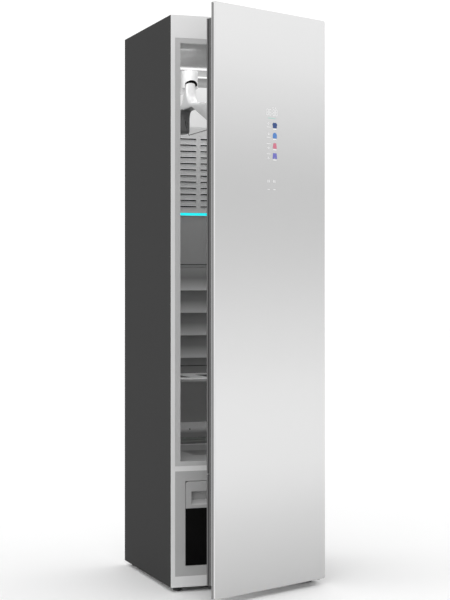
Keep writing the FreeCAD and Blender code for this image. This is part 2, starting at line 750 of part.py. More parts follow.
def make_opening_trim():
    """Grey frame round the opening, with a lip that runs into the chamber."""
    front = at.front + size.trim_inset
    trim = Piece("opening_trim")
    trim.add("XZ", front, front + size.trim_sheet,
             rectangle(at.flange_left, at.flange_right, at.deck, at.header),
             rectangle(at.wall_left, at.wall_right, at.floor, at.ceiling))
    wall = size.trim_lip_wall
    trim.add("XZ", front + size.trim_sheet, at.lip_back,
             rectangle(at.wall_left - wall, at.wall_right + wall, at.floor - wall, at.ceiling + wall),
             rectangle(at.wall_left, at.wall_right, at.floor, at.ceiling))


def make_chamber_walls():
    """Side walls, each with the ledge that carries the shelf."""
    ledge_top = at.base + size.shelf_top - size.shelf_rim - size.seat_gap
    for label, side in (("chamber_wall_left", -1), ("chamber_wall_right", 1)):
        inner = at.wall_left if side < 0 else at.wall_right
        outer = inner + side * size.liner
        tip = inner - side * size.ledge_width
        wall = Piece(label)
        wall.add("XY", at.deck, at.ceiling + size.liner, rectangle(
            *ordered(inner, outer), at.lip_back, at.panel_back))
        wall.add("XZ", at.front + size.shelf_front, at.shelf_back, polygon(
            (inner, ledge_top), (inner, ledge_top - size.ledge_height),
            (tip, ledge_top - size.ledge_height / 3), (tip, ledge_top)))


def ordered(first, second):
    """The two values, smaller first."""
    return (first, second) if first < second else (second, first)


def make_ceiling():
    """Chamber ceiling and the lamp under its rear edge."""
    ceiling = Piece("chamber_ceiling")
    ceiling.add("XY", at.ceiling, at.ceiling + size.liner, rectangle(
        at.wall_left, at.wall_right, at.lip_back, at.panel_back))
    lamp_top = at.ceiling - size.lamp_drop
    lamp = Piece("ceiling_lamp")
    lamp.add("YZ", at.wall_left + size.seat_gap, at.wall_right - size.seat_gap, polygon(
        (at.chamber_back - size.lamp_depth / 2, lamp_top), (at.chamber_back, lamp_top),
        (at.chamber_back, lamp_top - size.lamp_height),
        (at.chamber_back - size.lamp_depth, lamp_top - size.lamp_height)))


def make_floor():
    """Chamber floor: a tray upside down on the deck, with a seat for the lint filter."""
    under = at.floor - size.liner
    floor = Piece("chamber_floor")
    floor.add("XY", at.deck, at.floor, rectangle(
        at.wall_left, at.wall_right, at.lip_back, at.panel_back))
    floor.cut("XY", at.deck, under, rectangle(
        at.wall_left + size.liner, at.wall_right - size.liner,
        at.lip_back + size.liner, at.panel_back - size.liner))
    floor.cut("XY", under, at.floor, filter_outline(size.filter_clearance))
    floor.cut("XY", under, at.floor, circle(*steam_pipe_centre(), at.steam_hole))


def steam_pipe_centre():
    """Where the steam pipe comes up through deck and floor."""
    y = at.chamber_back - size.hood_reach / 2
    return (-size.nozzle_length / 2 + size.nozzle_radius * 3, y)


def filter_outline(margin):
    """Outline of the lint filter, grown by a margin."""
    front = at.front + size.filter_front
    return rectangle(-size.filter_width / 2 - margin, size.filter_width / 2 + margin,
                     front - margin, front + size.filter_depth + margin)


def make_filter():
    """Lint filter: a framed grille that lifts out of the floor."""
    low = at.deck + size.seat_gap
    front = at.front + size.filter_front + size.filter_rim
    run = size.filter_depth - size.filter_rim * 2
    pitch = (run - size.filter_slot) / (size.filter_rows - 1)
    net = Piece("lint_filter")
    net.add("XY", low, at.floor, filter_outline(0))
    net.cut("XY", low, at.floor - size.liner, filter_outline(-size.filter_wall))
    slot = net.cut("XY", at.floor - size.liner, at.floor, rectangle(
        -size.filter_width / 2 + size.filter_rim, size.filter_width / 2 - size.filter_rim,
        front, front + size.filter_slot))
    net.row(slot, "Y_Axis", pitch, size.filter_rows)


def make_vent_panel():
    """Upper back panel: two columns of slots, each slot with a lip under it."""
    low = at.glow + size.glow_height
    panel = Piece("vent_panel")
    panel.add("XZ", at.chamber_back, at.panel_back, rectangle(
        at.wall_left, at.wall_right, low, at.ceiling))
    slot_top = at.top - size.vent_top + size.vent_slot_height / 2
    slot_low = slot_top - size.vent_slot_height
    last = (size.vent_rows - 1) * size.vent_pitch
    lip_top = slot_low - size.vent_lip_gap
    for side in (-1, 1):
        near = side * size.vent_column_gap / 2
        x0, x1 = ordered(near, near + side * size.vent_slot_length)
        slot = panel.cut("XZ", at.chamber_back, at.panel_back,
                         rectangle(x0, x1, slot_low - last, slot_top - last))
        panel.row(slot, "Z_Axis", size.vent_pitch, size.vent_rows)
        lip = panel.add("YZ", x0, x1, polygon(
            (at.chamber_back, lip_top - last),
            (at.chamber_back - size.vent_lip, lip_top - last - size.vent_lip_fall),
            (at.chamber_back, lip_top - size.vent_lip_height - last)))
        panel.row(lip, "Z_Axis", size.vent_pitch, size.vent_rows)
    rail = at.top - size.picture_rail_top
    panel.add("YZ", at.wall_left, at.wall_right, rectangle(
        at.chamber_back - size.picture_rail_depth, at.chamber_back,
        rail - size.picture_rail_height, rail))


def make_glow_strip():
    """Cyan light strip between the two back panels."""
    low = at.glow
    strip = Piece("light_strip")
    strip.add("XZ", at.chamber_back - size.glow_thickness, at.panel_back, rectangle(
        at.wall_left, at.wall_right, low, low + size.glow_height))


def make_scalloped_panel():
    """Lower back panel: plain above, then shingles whose faces curve out to a sharp lower edge."""
    wall, reach = size.panel_wall, size.scallop_reach
    face, step = at.chamber_back, at.chamber_back - size.scallop_step
    top = at.glow
    step_top = at.top - size.scallop_step_top
    low = at.top - size.scallop_low_edge
    first = low + size.scallop_pitch * size.scallop_count
    count = round(size.scallop_count)
    line = [(face, top, None), (face, step_top, None), (step, step_top, None),
            (step, first + size.scallop_step, None), (face, first, None)]
    for index in range(count):
        edge = first - size.scallop_pitch * (index + 1)
        line.append((face - reach, edge, -size.scallop_radius))
        line.append((face, edge - size.scallop_edge, None))
    bottom = at.floor
    line.append((face, bottom, None))
    rear = [(u + wall, v + (wall if index > 0 else 0), radius)
            for index, (u, v, radius) in enumerate(line[:-1])]
    rear.append((face + wall, bottom, None))
    back_line = []
    for index in range(len(rear) - 1, -1, -1):
        u, v, _ = rear[index]
        radius = rear[index + 1][2] if index + 1 < len(rear) else None
        back_line.append((u, v, None if radius is None else -radius))
    panel = Piece("scalloped_panel")
    panel.add("YZ", at.wall_left, at.wall_right, line + back_line)


def make_steam_outlet():
    """Outlet hood at the foot of the back panel."""
    top, wall = at.base + size.hood_top, size.hood_wall
    brow = at.chamber_back - size.hood_reach
    brow_top = top - size.hood_drop
    brow_low = brow_top - size.hood_front_height
    hood = Piece("steam_outlet_hood")
    hood.add("YZ", at.wall_left + size.seat_gap, at.wall_right - size.seat_gap, polygon(
        (at.chamber_back, top), (brow, brow_top), (brow, brow_low), (brow + wall, brow_low),
        (brow + wall, brow_top - wall), (at.chamber_back, top - wall)))


def make_shelf():
    """Lift-out shelf: a plate with long cut-outs, its edge turned down all round."""
    top = at.base + size.shelf_top
    low = top - size.shelf_rim
    x0, x1 = at.wall_left + size.shelf_side_gap, at.wall_right - size.shelf_side_gap
    y0, y1 = at.front + size.shelf_front, at.shelf_back
    wall = size.shelf_rim_wall
    shelf = Piece("shelf")
    shelf.add("XY", low, top, rectangle(x0, x1, y0, y1))
    shelf.cut("XY", low, top - size.shelf_sheet, rectangle(x0 + wall, x1 - wall, y0 + wall, y1 - wall))
    pitch = size.shelf_slot_width + size.shelf_bridge
    start = (x0 + x1 - size.shelf_slots * pitch + size.shelf_bridge) / 2
    slot = shelf.cut("XY", top - size.shelf_sheet, top, rectangle(
        start, start + size.shelf_slot_width, y0 + size.shelf_slot_front,
        y1 - size.shelf_slot_rear))
    shelf.row(slot, "X_Axis", pitch, size.shelf_slots)


# ---------------------------------------------------------------- air arms and hangers

def hanger_side(name):
    """Where a hanger hangs across the chamber."""
    return -size.hanger_spacing / 2 if name == "left" else size.hanger_spacing / 2


def pivot_height():
    """Height of the hanger pivots."""
    return at.top - size.arm_bottom + size.socket_height - size.pivot_drop


def make_air_arms():
    """Hollow arms from the back panel; each rounded nose has an arched socket and a pivot pin."""
    half, socket = size.arm_width / 2, size.socket_width / 2
    nose = at.neck
    low = at.top - size.arm_bottom
    top = low + size.arm_height
    roof = low + size.socket_height
    spring = roof - size.socket_rise
    arms, pins = Piece("air_arms"), Piece("hanger_pivots")
    for x in (hanger_side("left"), hanger_side("right")):
        arms.add("XY", low, top, [
            (x - half, nose, None), (x, nose - half, half), (x + half, nose, half),
            (x + half, at.chamber_back, None), (x - half, at.chamber_back, None)])
        arms.cut("XZ", nose - half, nose - half + size.socket_depth, [
            (x - socket, low, None), (x + socket, low, None), (x + socket, spring, None),
            (x, roof, size.socket_arch), (x - socket, spring, size.socket_arch)])
        pins.add("XZ", nose - size.neck_length / 2 - size.pivot_end, nose - half + size.socket_depth,
                 circle(x, pivot_height(), size.pivot_radius))


def make_hanger(name):
    """Hanger along the depth of the chamber: neck, two drooping arms, trouser arm and bar."""
    x, nose, pivot = hanger_side(name), at.neck, pivot_height()
    half, neck = size.hanger_thickness / 2, size.neck_length / 2
    shoulder, straight = pivot - size.shoulder_drop, pivot - size.neck_straight
    apex, tip = pivot - size.apex_drop, pivot - size.tip_drop
    tip_top, heel = shoulder - size.shoulder_fall, size.tip_heel
    crown = pivot + size.pivot_radius + size.neck_crown
    reach, level = at.hanger_reach, size.shoulder_reach
    curve, bend = size.shoulder_curve, size.tip_round
    shell = Piece("hanger_shell_" + name)
    shell.add("YZ", x - half, x + half, [
        (nose - neck, crown, None), (nose - neck, straight, None),
        (nose - level, shoulder, -curve), (nose - reach + bend, tip_top, None),
        (nose - reach, tip_top - bend, bend), (nose - reach, tip + heel, None),
        (nose - reach + heel, tip, heel), (nose - size.apex_front, apex, None),
        (nose + size.apex_rear, apex, None),
        (nose + reach - heel, tip, None), (nose + reach, tip + heel, heel),
        (nose + reach, tip_top - bend, None), (nose + reach - bend, tip_top, bend),
        (nose + level, shoulder, None), (nose + neck, straight, -curve),
        (nose + neck, crown, None)])
    for side, inner in ((x - half, x - half + size.neck_bevel), (x + half, x + half - size.neck_bevel)):
        shell.cut("XZ", nose - neck, nose + neck, polygon(
            (side, crown - size.neck_slope), (inner, crown), (side, crown)))
    shell.cut("XZ", nose - neck, nose + neck,
              circle(x, pivot, size.pivot_radius + size.pivot_clearance))

    top, foot = apex - size.seat_gap, apex - size.clip_height
    front, rear = nose + size.clip_front, nose + size.clip_rear
    flare = size.clip_flare
    clip = Piece("trouser_arm_" + name)
    clip.add("YZ", x - size.clip_thickness / 2, x + size.clip_thickness / 2, [
        (front - flare, top, None), (front, top - flare, -flare), (front, foot, None),
        (rear, foot, None), (rear, top - flare, None), (rear + size.clip_heel, top, None)])

    wire, foot_z, tip = size.bar_wire, pivot - size.bar_drop, nose - size.bar_front
    foot_y, eye_y, eye_z = nose + size.bar_foot, front - size.seat_gap, pivot - size.bar_eye_drop
    bar = Piece("trouser_bar_" + name)
    bar.add("YZ", x - wire / 2, x + wire / 2, polygon(
        (tip, foot_z), (foot_y, foot_z), (eye_y, eye_z - wire), (eye_y, eye_z + wire),
        (foot_y - wire / 2, foot_z + wire), (tip, foot_z + wire)))


# ---------------------------------------------------------------- door

def make_door_glass():
    """Door front: one tall pane with rounded corners."""
    glass = Piece("door_glass").on_door()
    glass.add("XZ", -size.hinge_setback, at.glass_back, rounded(
        at.door_left, at.door_right, at.door_bottom, at.door_top, size.glass_corner))


def make_door_trim():
    """Trim frame behind the glass, notched where the upper hinge arm swings through it."""
    inset = size.door_trim_inset
    x0, x1 = at.door_left + inset, at.door_right - inset
    z0, z1 = at.door_bottom + inset, at.door_top - inset
    width = size.door_trim_width
    trim = Piece("door_trim").on_door()
    trim.add("XZ", at.glass_back, at.trim_back, rounded(x0, x1, z0, z1, size.glass_corner - inset),
             rectangle(x0 + width, x1 - width, z0 + width, z1 - width))
    arm, room = at.door_top - size.hinge_arm_drop, size.hinge_slot_room
    trim.cut("XY", arm - size.hinge_leaf - room, arm + room, rectangle(
        x1 - width, x1, at.glass_back, at.trim_back))
    side = size.bush_width / 2
    trim.cut("XY", z0, z0 + width, rectangle(-side, side, at.glass_back, at.trim_back))


def make_door_inner():
    """Inner panel: a shallow moulded pan with a raised field, filled with foam."""
    x0, x1, z0, z1 = at.inner_left, at.inner_right, at.inner_low, at.inner_high
    wall, edge, step = size.inner_wall, size.pillow_inset, size.inner_step
    cavity = rectangle(x0 + step + wall, x1 - step - wall, z0 + wall, z1 - wall)
    panel = Piece("door_inner_panel").on_door()
    panel.add("XZ", at.glass_back, at.trim_back, rectangle(x0 + step, x1 - step, z0, z1), cavity)
    panel.add("XZ", at.trim_back, at.inner_back, rectangle(x0, x1, z0, z1))
    panel.cut("XZ", at.trim_back, at.inner_back - wall, cavity)
    panel.add("XZ", at.inner_back, at.inner_back + size.pillow_depth, rounded(
        x0 + edge, x1 - edge, at.split + edge, z1 - edge, size.pillow_corner))
    foam = Piece("door_foam_core").on_door()
    foam.add("XZ", at.glass_back, at.inner_back - wall, cavity)
    high, centre, half = at.door_top - size.display_top, -size.display_centre, size.display_width / 2
    module = rectangle(centre - half, centre + half, high - size.display_height, high)
    foam.cut("XZ", at.glass_back, at.glass_back + size.display_depth, module)
    display = Piece("display_module").on_door()
    display.add("XZ", at.glass_back, at.glass_back + size.display_depth, module)


def make_gasket(label, low, high):
    """Magnetic gasket: a soft frame with a hollow fold along its face."""
    x0, x1 = at.inner_left, at.inner_right
    width, fold = size.gasket_width, size.gasket_depth / 4
    middle = at.inner_back + size.gasket_depth / 2
    gasket = Piece(label).on_door()
    gasket.add("XZ", at.inner_back, at.gasket_back, rectangle(x0, x1, low, high),
               rectangle(x0 + width, x1 - width, low + width, high - width))
    gasket.cut("XZ", middle - fold / 2, middle + fold / 2, rectangle(x0, x1, low, high),
               rectangle(x0 + fold, x1 - fold, low + fold, high - fold))


def make_hinges():
    """Upper and lower hinge: a screwed leaf with an arm, a pin, and the door's bush."""
    half, leaf, gap = size.hinge_arm_width / 2, size.hinge_leaf, size.hinge_gap
    leaf_left = at.flange_right - size.hinge_leaf_width
    root = at.hinge_x - size.hinge_arm_sweep
    face = at.front - leaf
    upper = at.door_top - size.hinge_arm_drop - leaf
    lower = at.door_bottom - gap - leaf
    brackets = Piece("hinge_brackets")
    for arm, plate in ((upper, upper + leaf - size.hinge_leaf_height), (lower, lower)):
        brackets.add("XZ", face, at.front, rectangle(
            leaf_left, at.flange_right, plate, plate + size.hinge_leaf_height))
        brackets.add("XY", arm, arm + leaf, [
            (root - half, face, None), (at.hinge_x - half, at.hinge_y, None),
            (at.hinge_x, at.hinge_y - half, half), (at.hinge_x + half, at.hinge_y, half),
            (root + size.hinge_arm_root, face, None)])
    bush_high = upper - gap
    pin = circle(at.hinge_x, at.hinge_y, size.hinge_pin_radius)
    pins = Piece("hinge_pins")
    pins.add("XY", bush_high - size.pin_reach, upper, pin)
    pins.add("XY", lower + leaf, at.door_bottom + size.pin_reach, pin)
    side = size.bush_width / 2
    bore = circle(0, 0, size.hinge_pin_radius + size.hinge_clearance)
    outline = rectangle(-side, side - size.bush_setback, at.glass_back, at.glass_back + size.bush_depth)
    bushes = Piece("hinge_bushes").on_door()
    bushes.add("XY", at.inner_high, bush_high, outline, bore)
    bushes.add("XY", at.door_bottom, at.inner_low, outline, bore)


# ---------------------------------------------------------------- lower front and tanks

def tank_left(name):
    """Left face of a tank."""
    if name == "supply":
        return at.flange_left + size.tank_margin
    return size.tank_gap / 2


def make_lower_front():
    """Grey plastic front of the machine room, with a collared opening for each tank."""
    bottom, top = at.base + size.bottom_rail_height, at.deck - size.middle_rail_height
    gap, wall = size.tank_clearance, size.panel_plastic
    low, high = at.tank_base - gap, at.base + size.tank_top + gap
    sides = [(tank_left(n) - gap, tank_left(n) + at.tank_width + gap) for n in ("supply", "drain")]
    panel = Piece("lower_front_panel")
    panel.add("XZ", at.front, at.front + wall,
              rectangle(at.flange_left, at.flange_right, bottom, top),
              *[rectangle(x0, x1, low, high) for x0, x1 in sides])
    for x0, x1 in sides:
        panel.add("XZ", at.front + wall, at.front + size.panel_collar,
                  rectangle(x0 - wall, x1 + wall, low - wall, high + wall),
                  rectangle(x0, x1, low, high))


def make_tank(name):
    """Tank: an open box, and its cover with the grip, the lid and the filler cap."""
    x0 = tank_left(name)
    x1, wall = x0 + at.tank_width, size.tank_wall
    low, split, top = at.tank_base, at.base + size.tank_split, at.base + size.tank_top
    body = Piece(name + "_tank")
    body.add("XY", low, split, rectangle(x0, x1, at.front, at.tank_back))
    body.cut("XY", low + wall, split, rectangle(
        x0 + wall, x1 - wall, at.front + wall, at.tank_back - wall))
    cover = Piece(name + "_tank_cover")
    cover_back = at.front + size.grip_cover_depth
    corner = size.tank_corner
    cover.add("XZ", at.front, cover_back, [
        (x0, split, None), (x1, split, None), (x1, top - corner, None), (x1 - corner, top, corner),
        (x0 + corner, top, None), (x0, top - corner, corner)])
    grip_low, grip_high = at.base + size.grip_bottom, at.base + size.grip_top
    cover.cut("YZ", x0 + size.grip_margin, x1 - size.grip_margin, polygon(
        (at.front, grip_low), (at.front + size.grip_depth, grip_low),
        (at.front + size.grip_depth, grip_high + size.grip_pocket),
        (at.front + size.grip_lip, grip_high + size.grip_pocket),
        (at.front, grip_high)))
    cover.add("XY", split, split + size.lid_height, rectangle(x0, x1, cover_back, at.tank_back))
    cover.add("XY", split + size.lid_height, split + size.lid_height + size.cap_height, circle(
        x0 + at.tank_width / 2, (cover_back + at.tank_back) / 2, size.cap_radius))


def make_tank_tray():
    """Tray that the tanks stand on, folded down to the base pan at both sides."""
    x = at.right - size.flange_width - size.tank_margin + size.tray_margin
    sheet_top, under = at.tray_top, at.tray_top - size.tray_sheet
    tray = Piece("tank_tray")
    tray.add("XZ", at.front + size.rail_depth, at.tank_back, polygon(
        (-x, at.pan_floor), (-x + size.tray_sheet, at.pan_floor), (-x + size.tray_sheet, under),
        (x - size.tray_sheet, under), (x - size.tray_sheet, at.pan_floor), (x, at.pan_floor),
        (x, sheet_top), (-x, sheet_top)))


# ---------------------------------------------------------------- machine room

def make_deck():
    """Steel deck that the chamber stands on."""
    deck = Piece("deck_plate")
    leg, front = at.front + size.flange_leg, at.front + size.rail_depth
    deck.add("XY", at.deck_under, at.deck, polygon(
        (at.flange_left, front), (at.flange_right, front), (at.flange_right, leg),
        (at.skin_right, leg), (at.skin_right, at.behind_rear), (at.skin_left, at.behind_rear),
        (at.skin_left, leg), (at.flange_left, leg)))
    deck.cut("XY", at.deck_under, at.deck,
             filter_outline(-size.filter_seat), circle(*steam_pipe_centre(), at.steam_hole))


def make_boiler():
    """Steam generator, water pump, and the pipes to them and up to the nozzle."""
    x, y = steam_pipe_centre()
    half = size.boiler_width / 2
    back = y + size.steam_pipe_radius * 2
    boiler = Piece("steam_generator")
    boiler.add("XY", at.pan_floor, at.pan_floor + size.boiler_height, rounded(
        x - half, x + half, back - size.boiler_depth, back, size.boiler_round))
    high = at.pan_floor + size.boiler_height
    boiler.cut("XY", high - size.boiler_outlet, high,
               circle(x, y, size.steam_pipe_radius - size.steam_pipe_wall))
    pump_x = x - half
    z = at.pan_floor + size.pump_radius
    mid = back - size.boiler_depth - size.pump_radius - size.pump_gap
    pump = Piece("water_pump")
    pump.add("YZ", pump_x, pump_x + size.pump_length, circle(mid, z, size.pump_radius))
    inset, foot = size.pump_foot_inset, size.pump_foot / 2
    pump.add("XY", at.pan_floor, z, rectangle(
        pump_x + inset, pump_x + size.pump_length - inset, mid - foot, mid + foot))
    pipes = Piece("steam_pipes")
    nozzle, half = at.base + size.nozzle_height, size.nozzle_length / 2
    pipes.add("YZ", -half, half, circle(y, nozzle, size.nozzle_radius),
              circle(y, nozzle, size.nozzle_bore))
    pipes.cut("XZ", y - size.nozzle_radius, y, rectangle(
        -half + size.nozzle_end, half - size.nozzle_end,
        nozzle - size.nozzle_slot / 2, nozzle + size.nozzle_slot / 2))
    pipes.add("XY", high, nozzle - size.nozzle_bore,
              circle(x, y, size.steam_pipe_radius),
              circle(x, y, size.steam_pipe_radius - size.steam_pipe_wall))
    pipes.add("XZ", mid + size.pump_radius, back - size.boiler_depth, circle(
        pump_x + size.pump_length / 2, z, size.feed_pipe_radius))


def make_compressor():
    """Compressor: a domed welded shell on rubber feet."""
    x = at.skin_right - size.compressor_radius - size.compressor_side_gap
    y = at.behind_rear - size.compressor_radius - size.compressor_rear_gap
    low = at.pan_floor + size.compressor_foot_height
    top, radius, dome = low + size.compressor_height, size.compressor_radius, size.compressor_dome
    foot = size.compressor_foot_reach
    shell = Piece("compressor")
    shell.turn(x, y, polygon(
        (0, low), (radius, low), (radius, top - dome), (radius / 2, top), (0, top)))
    half = size.compressor_foot / 2
    shell.add("XY", at.pan_floor, low, *[
        rectangle(x + dx * foot - half, x + dx * foot + half, y + dy * foot - half, y + dy * foot + half)
        for dx in (-1, 1) for dy in (-1, 1)])


def make_coil(label, low):
    """Finned heat exchanger: a dense pack of fins with bolder ones over it, and its pipe ends."""
    x0 = at.skin_left + size.coil_side_gap
    x1 = x0 + size.coil_width
    y0 = at.machines_front
    y1, high = y0 + size.coil_depth, low + size.coil_height
    pitch = (size.coil_width - size.coil_end_sheet) / (size.coil_fins - 1)
    coil = Piece(label)
    fin = coil.add("YZ", x0, x0 + size.coil_end_sheet, rectangle(y0, y1, low, high))
    coil.row(fin, "X_Axis", pitch, size.coil_fins)
    groove = size.coil_groove
    coil.add("XY", low, high, rectangle(x0, x1, y0 + groove, y1 - groove))
    mid, step = (y0 + y1) / 2, size.coil_height / 4
    for level in (1, 3):
        pipe = circle(mid, low + step * level, size.coil_pipe_radius)
        coil.add("YZ", x1, x1 + size.coil_bend, pipe)


def make_coils():
    """Condenser on the base pan and the evaporator on top of it."""
    make_coil("condenser", at.pan_floor)
    make_coil("evaporator", at.pan_floor + size.coil_height)


def make_fan():
    """Fan that drives the air: housing, motor, shaft and impeller, hung under the deck."""
    x, wall, clear = size.fan_centre, size.fan_wall, size.fan_clearance
    outer = size.fan_radius + clear + wall
    high, z = at.deck_under, at.deck_under - outer
    y0 = at.machines_front
    depth = size.fan_width + (wall + clear) * 2
    housing = Piece("fan_housing")
    housing.add("XZ", y0, y0 + depth, rectangle(x - outer, x + outer, z - outer, high))
    housing.cut("XZ", y0, y0 + depth - wall, circle(x, z, size.fan_radius + clear))
    housing.cut("XZ", y0 + depth - wall, y0 + depth, circle(
        x, z, size.fan_shaft_radius + size.fan_shaft_gap))
    motor_face = y0 + depth
    motor = Piece("fan_motor")
    motor.add("XZ", motor_face, motor_face + size.motor_length, circle(x, z, size.motor_radius),
              circle(x, z, size.fan_shaft_radius + size.hinge_clearance))
    disc_back = y0 + wall + clear + size.fan_width
    disc = disc_back - size.fan_disc
    wheel = Piece("fan_impeller")
    wheel.add("XZ", disc, disc_back, circle(x, z, size.fan_radius))
    wheel.add("XZ", disc - size.fan_hub_length, disc, circle(x, z, size.fan_hub_radius))
    wheel.add("XZ", disc_back, motor_face + size.motor_length / 2,
              circle(x, z, size.fan_shaft_radius))
    half, lean = size.fan_blade / 2, size.fan_blade_lean
    blade_sketch = wheel.sketch("XZ", disc, [polygon(
        (-half, size.fan_blade_root), (half, size.fan_blade_root),
        (lean + half, size.fan_blade_tip), (lean - half, size.fan_blade_tip))], (x, z))
    blade = wheel.body.newObject("PartDesign::Pad", "fan_impeller_blade")
    blade.Profile = blade_sketch
    bind(blade, Length=size.fan_width - size.fan_disc)
    wheel.ring(blade, blade_sketch, size.fan_blades)


def make_control_box():
    """Control electronics in a plastic box on the right side of the machine room."""
    x1 = at.skin_right
    z1 = at.deck_under
    box = Piece("control_box")
    box.add("XY", z1 - size.box_height, z1, rectangle(
        x1 - size.box_depth, x1, at.machines_front, at.machines_front + size.box_width))


# ---------------------------------------------------------------- insulation and duct

def make_insulation():
    """Foam between the chamber and the outer skins, in one piece, with the air duct's channel."""
    front, back = at.front + size.flange_leg, at.panel_back
    high = at.ceiling + size.liner
    foam = Piece("insulation")
    duct = size.vent_column_gap / 2 + size.vent_slot_length + size.duct_margin
    foam.add("XY", at.deck, at.top - size.skin, polygon(
        (at.skin_left, back), (-duct, back), (-duct, back + size.duct_depth),
        (duct, back + size.duct_depth), (duct, back), (at.skin_right, back),
        (at.skin_right, at.behind_rear), (at.skin_left, at.behind_rear)))
    for side in (-1, 1):
        skin = at.skin_left if side < 0 else at.skin_right
        wall = (at.wall_left if side < 0 else at.wall_right) + side * size.liner
        foam.add("XY", at.deck, high, rectangle(*ordered(skin, wall), front, back))
    foam.add("XY", high, at.top - size.skin, rectangle(at.skin_left, at.skin_right, front, back))


# ---------------------------------------------------------------- build and export

def build():
    """Make every piece."""
    make_side_panel("side_panel_left", -1)
    make_side_panel("side_panel_right", 1)
    make_front_flange("front_flange_left", -1)
    make_front_flange("front_flange_right", 1)
    make_header()
    make_channel("middle_rail", at.deck - size.middle_rail_height, at.deck)
    make_channel("bottom_rail", at.base, at.base + size.bottom_rail_height, lower=False)
    make_top_panel()
    make_rear_panel()
    make_gland()
    make_base_pan()
    make_feet()
    make_opening_trim()
    make_chamber_walls()
    make_ceiling()
    make_floor()
    make_filter()
    make_vent_panel()
    make_glow_strip()
    make_scalloped_panel()
    make_steam_outlet()
    make_shelf()
    make_air_arms()
    for name in ("left", "right"):
        make_hanger(name)
    make_door_glass()
    make_door_trim()
    make_door_inner()
    make_gasket("gasket_upper", at.split + size.gasket_gap / 2, at.inner_high)
    make_gasket("gasket_lower", at.inner_low, at.split - size.gasket_gap / 2)
    make_hinges()
    make_lower_front()
    make_tank("supply")
    make_tank("drain")
    make_tank_tray()
    make_deck()
    make_boiler()
    make_compressor()
    make_coils()
    make_fan()
    make_control_box()
    make_insulation()


def check():
    """Stop if an object failed, a cut removed nothing, or a piece is not a valid solid."""
    for item in doc.Objects:
        if "Invalid" in item.State or "Error" in item.State:
            raise RuntimeError(f"{item.Name} failed: {item.State}")
        if item.TypeId == "PartDesign::Pocket":
            if item.Shape.Volume >= item.BaseFeature.Shape.Volume - 1e-3:
                raise RuntimeError(f"{item.Name} cut nothing")
    faulty = [body.Label for body in pieces
              if body.Shape.isNull() or not body.Shape.isValid() or not body.Shape.Solids]
    if faulty:
        raise RuntimeError(f"not valid solids: {faulty}")


def export():
    """Write each piece to a STEP file named by its label."""
    os.makedirs("parts", exist_ok=True)
    for body in pieces:
        body.Shape.exportStep(f"parts/{body.Label}.step")


build()
doc.recompute()
check()
export()
print(f"{len(pieces)} pieces written")
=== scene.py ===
"""Clothes care steam cabinet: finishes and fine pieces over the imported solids.

Everything is in metres in the row frame: +Z up, the front faces -Y, X to the right. Each
sub-assembly is a class that holds its sizes as fields and builds and dresses its own pieces.
"""
import json
import logging
import math
from dataclasses import dataclass, field, replace
from enum import Enum
from functools import cache

import bmesh
import bpy
from mathutils import Matrix, Vector


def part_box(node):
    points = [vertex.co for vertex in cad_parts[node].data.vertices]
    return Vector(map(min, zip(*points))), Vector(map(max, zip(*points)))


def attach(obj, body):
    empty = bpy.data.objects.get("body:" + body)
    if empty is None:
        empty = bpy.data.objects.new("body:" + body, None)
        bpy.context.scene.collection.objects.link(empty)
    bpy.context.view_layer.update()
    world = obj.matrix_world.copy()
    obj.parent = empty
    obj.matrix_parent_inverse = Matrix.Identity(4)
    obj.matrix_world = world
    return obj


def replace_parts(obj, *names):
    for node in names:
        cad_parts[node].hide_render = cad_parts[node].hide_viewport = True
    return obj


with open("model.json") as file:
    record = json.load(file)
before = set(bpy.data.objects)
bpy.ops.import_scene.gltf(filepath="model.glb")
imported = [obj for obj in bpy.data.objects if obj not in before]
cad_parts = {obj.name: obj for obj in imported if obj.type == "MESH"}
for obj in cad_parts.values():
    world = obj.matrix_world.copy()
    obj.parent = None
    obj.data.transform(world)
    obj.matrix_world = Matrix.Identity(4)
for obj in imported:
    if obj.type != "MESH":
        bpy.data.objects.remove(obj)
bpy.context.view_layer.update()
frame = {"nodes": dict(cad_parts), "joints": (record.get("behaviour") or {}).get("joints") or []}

LOG = logging.getLogger("steam_cabinet")

Colour = tuple[float, float, float]
Point = tuple[float, float, float]
Outline = list[tuple[float, float]]


class Axis(Enum):
    """Direction that an outline is extruded along, and what its two numbers then mean."""

    X = "outline in Y and Z"
    Y = "outline in X and Z"
    Z = "outline in X and Y"


class Texture(Enum):
    """Fine relief of a finish."""

    SMOOTH = "polished or glazed"
    MOULDED = "fine moulded grain"
    PAINTED = "orange peel of a powder coat"
    BRUSHED = "rolled or brushed lines"
    FOAM = "open foam cells"


# ---------------------------------------------------------------- shader effects


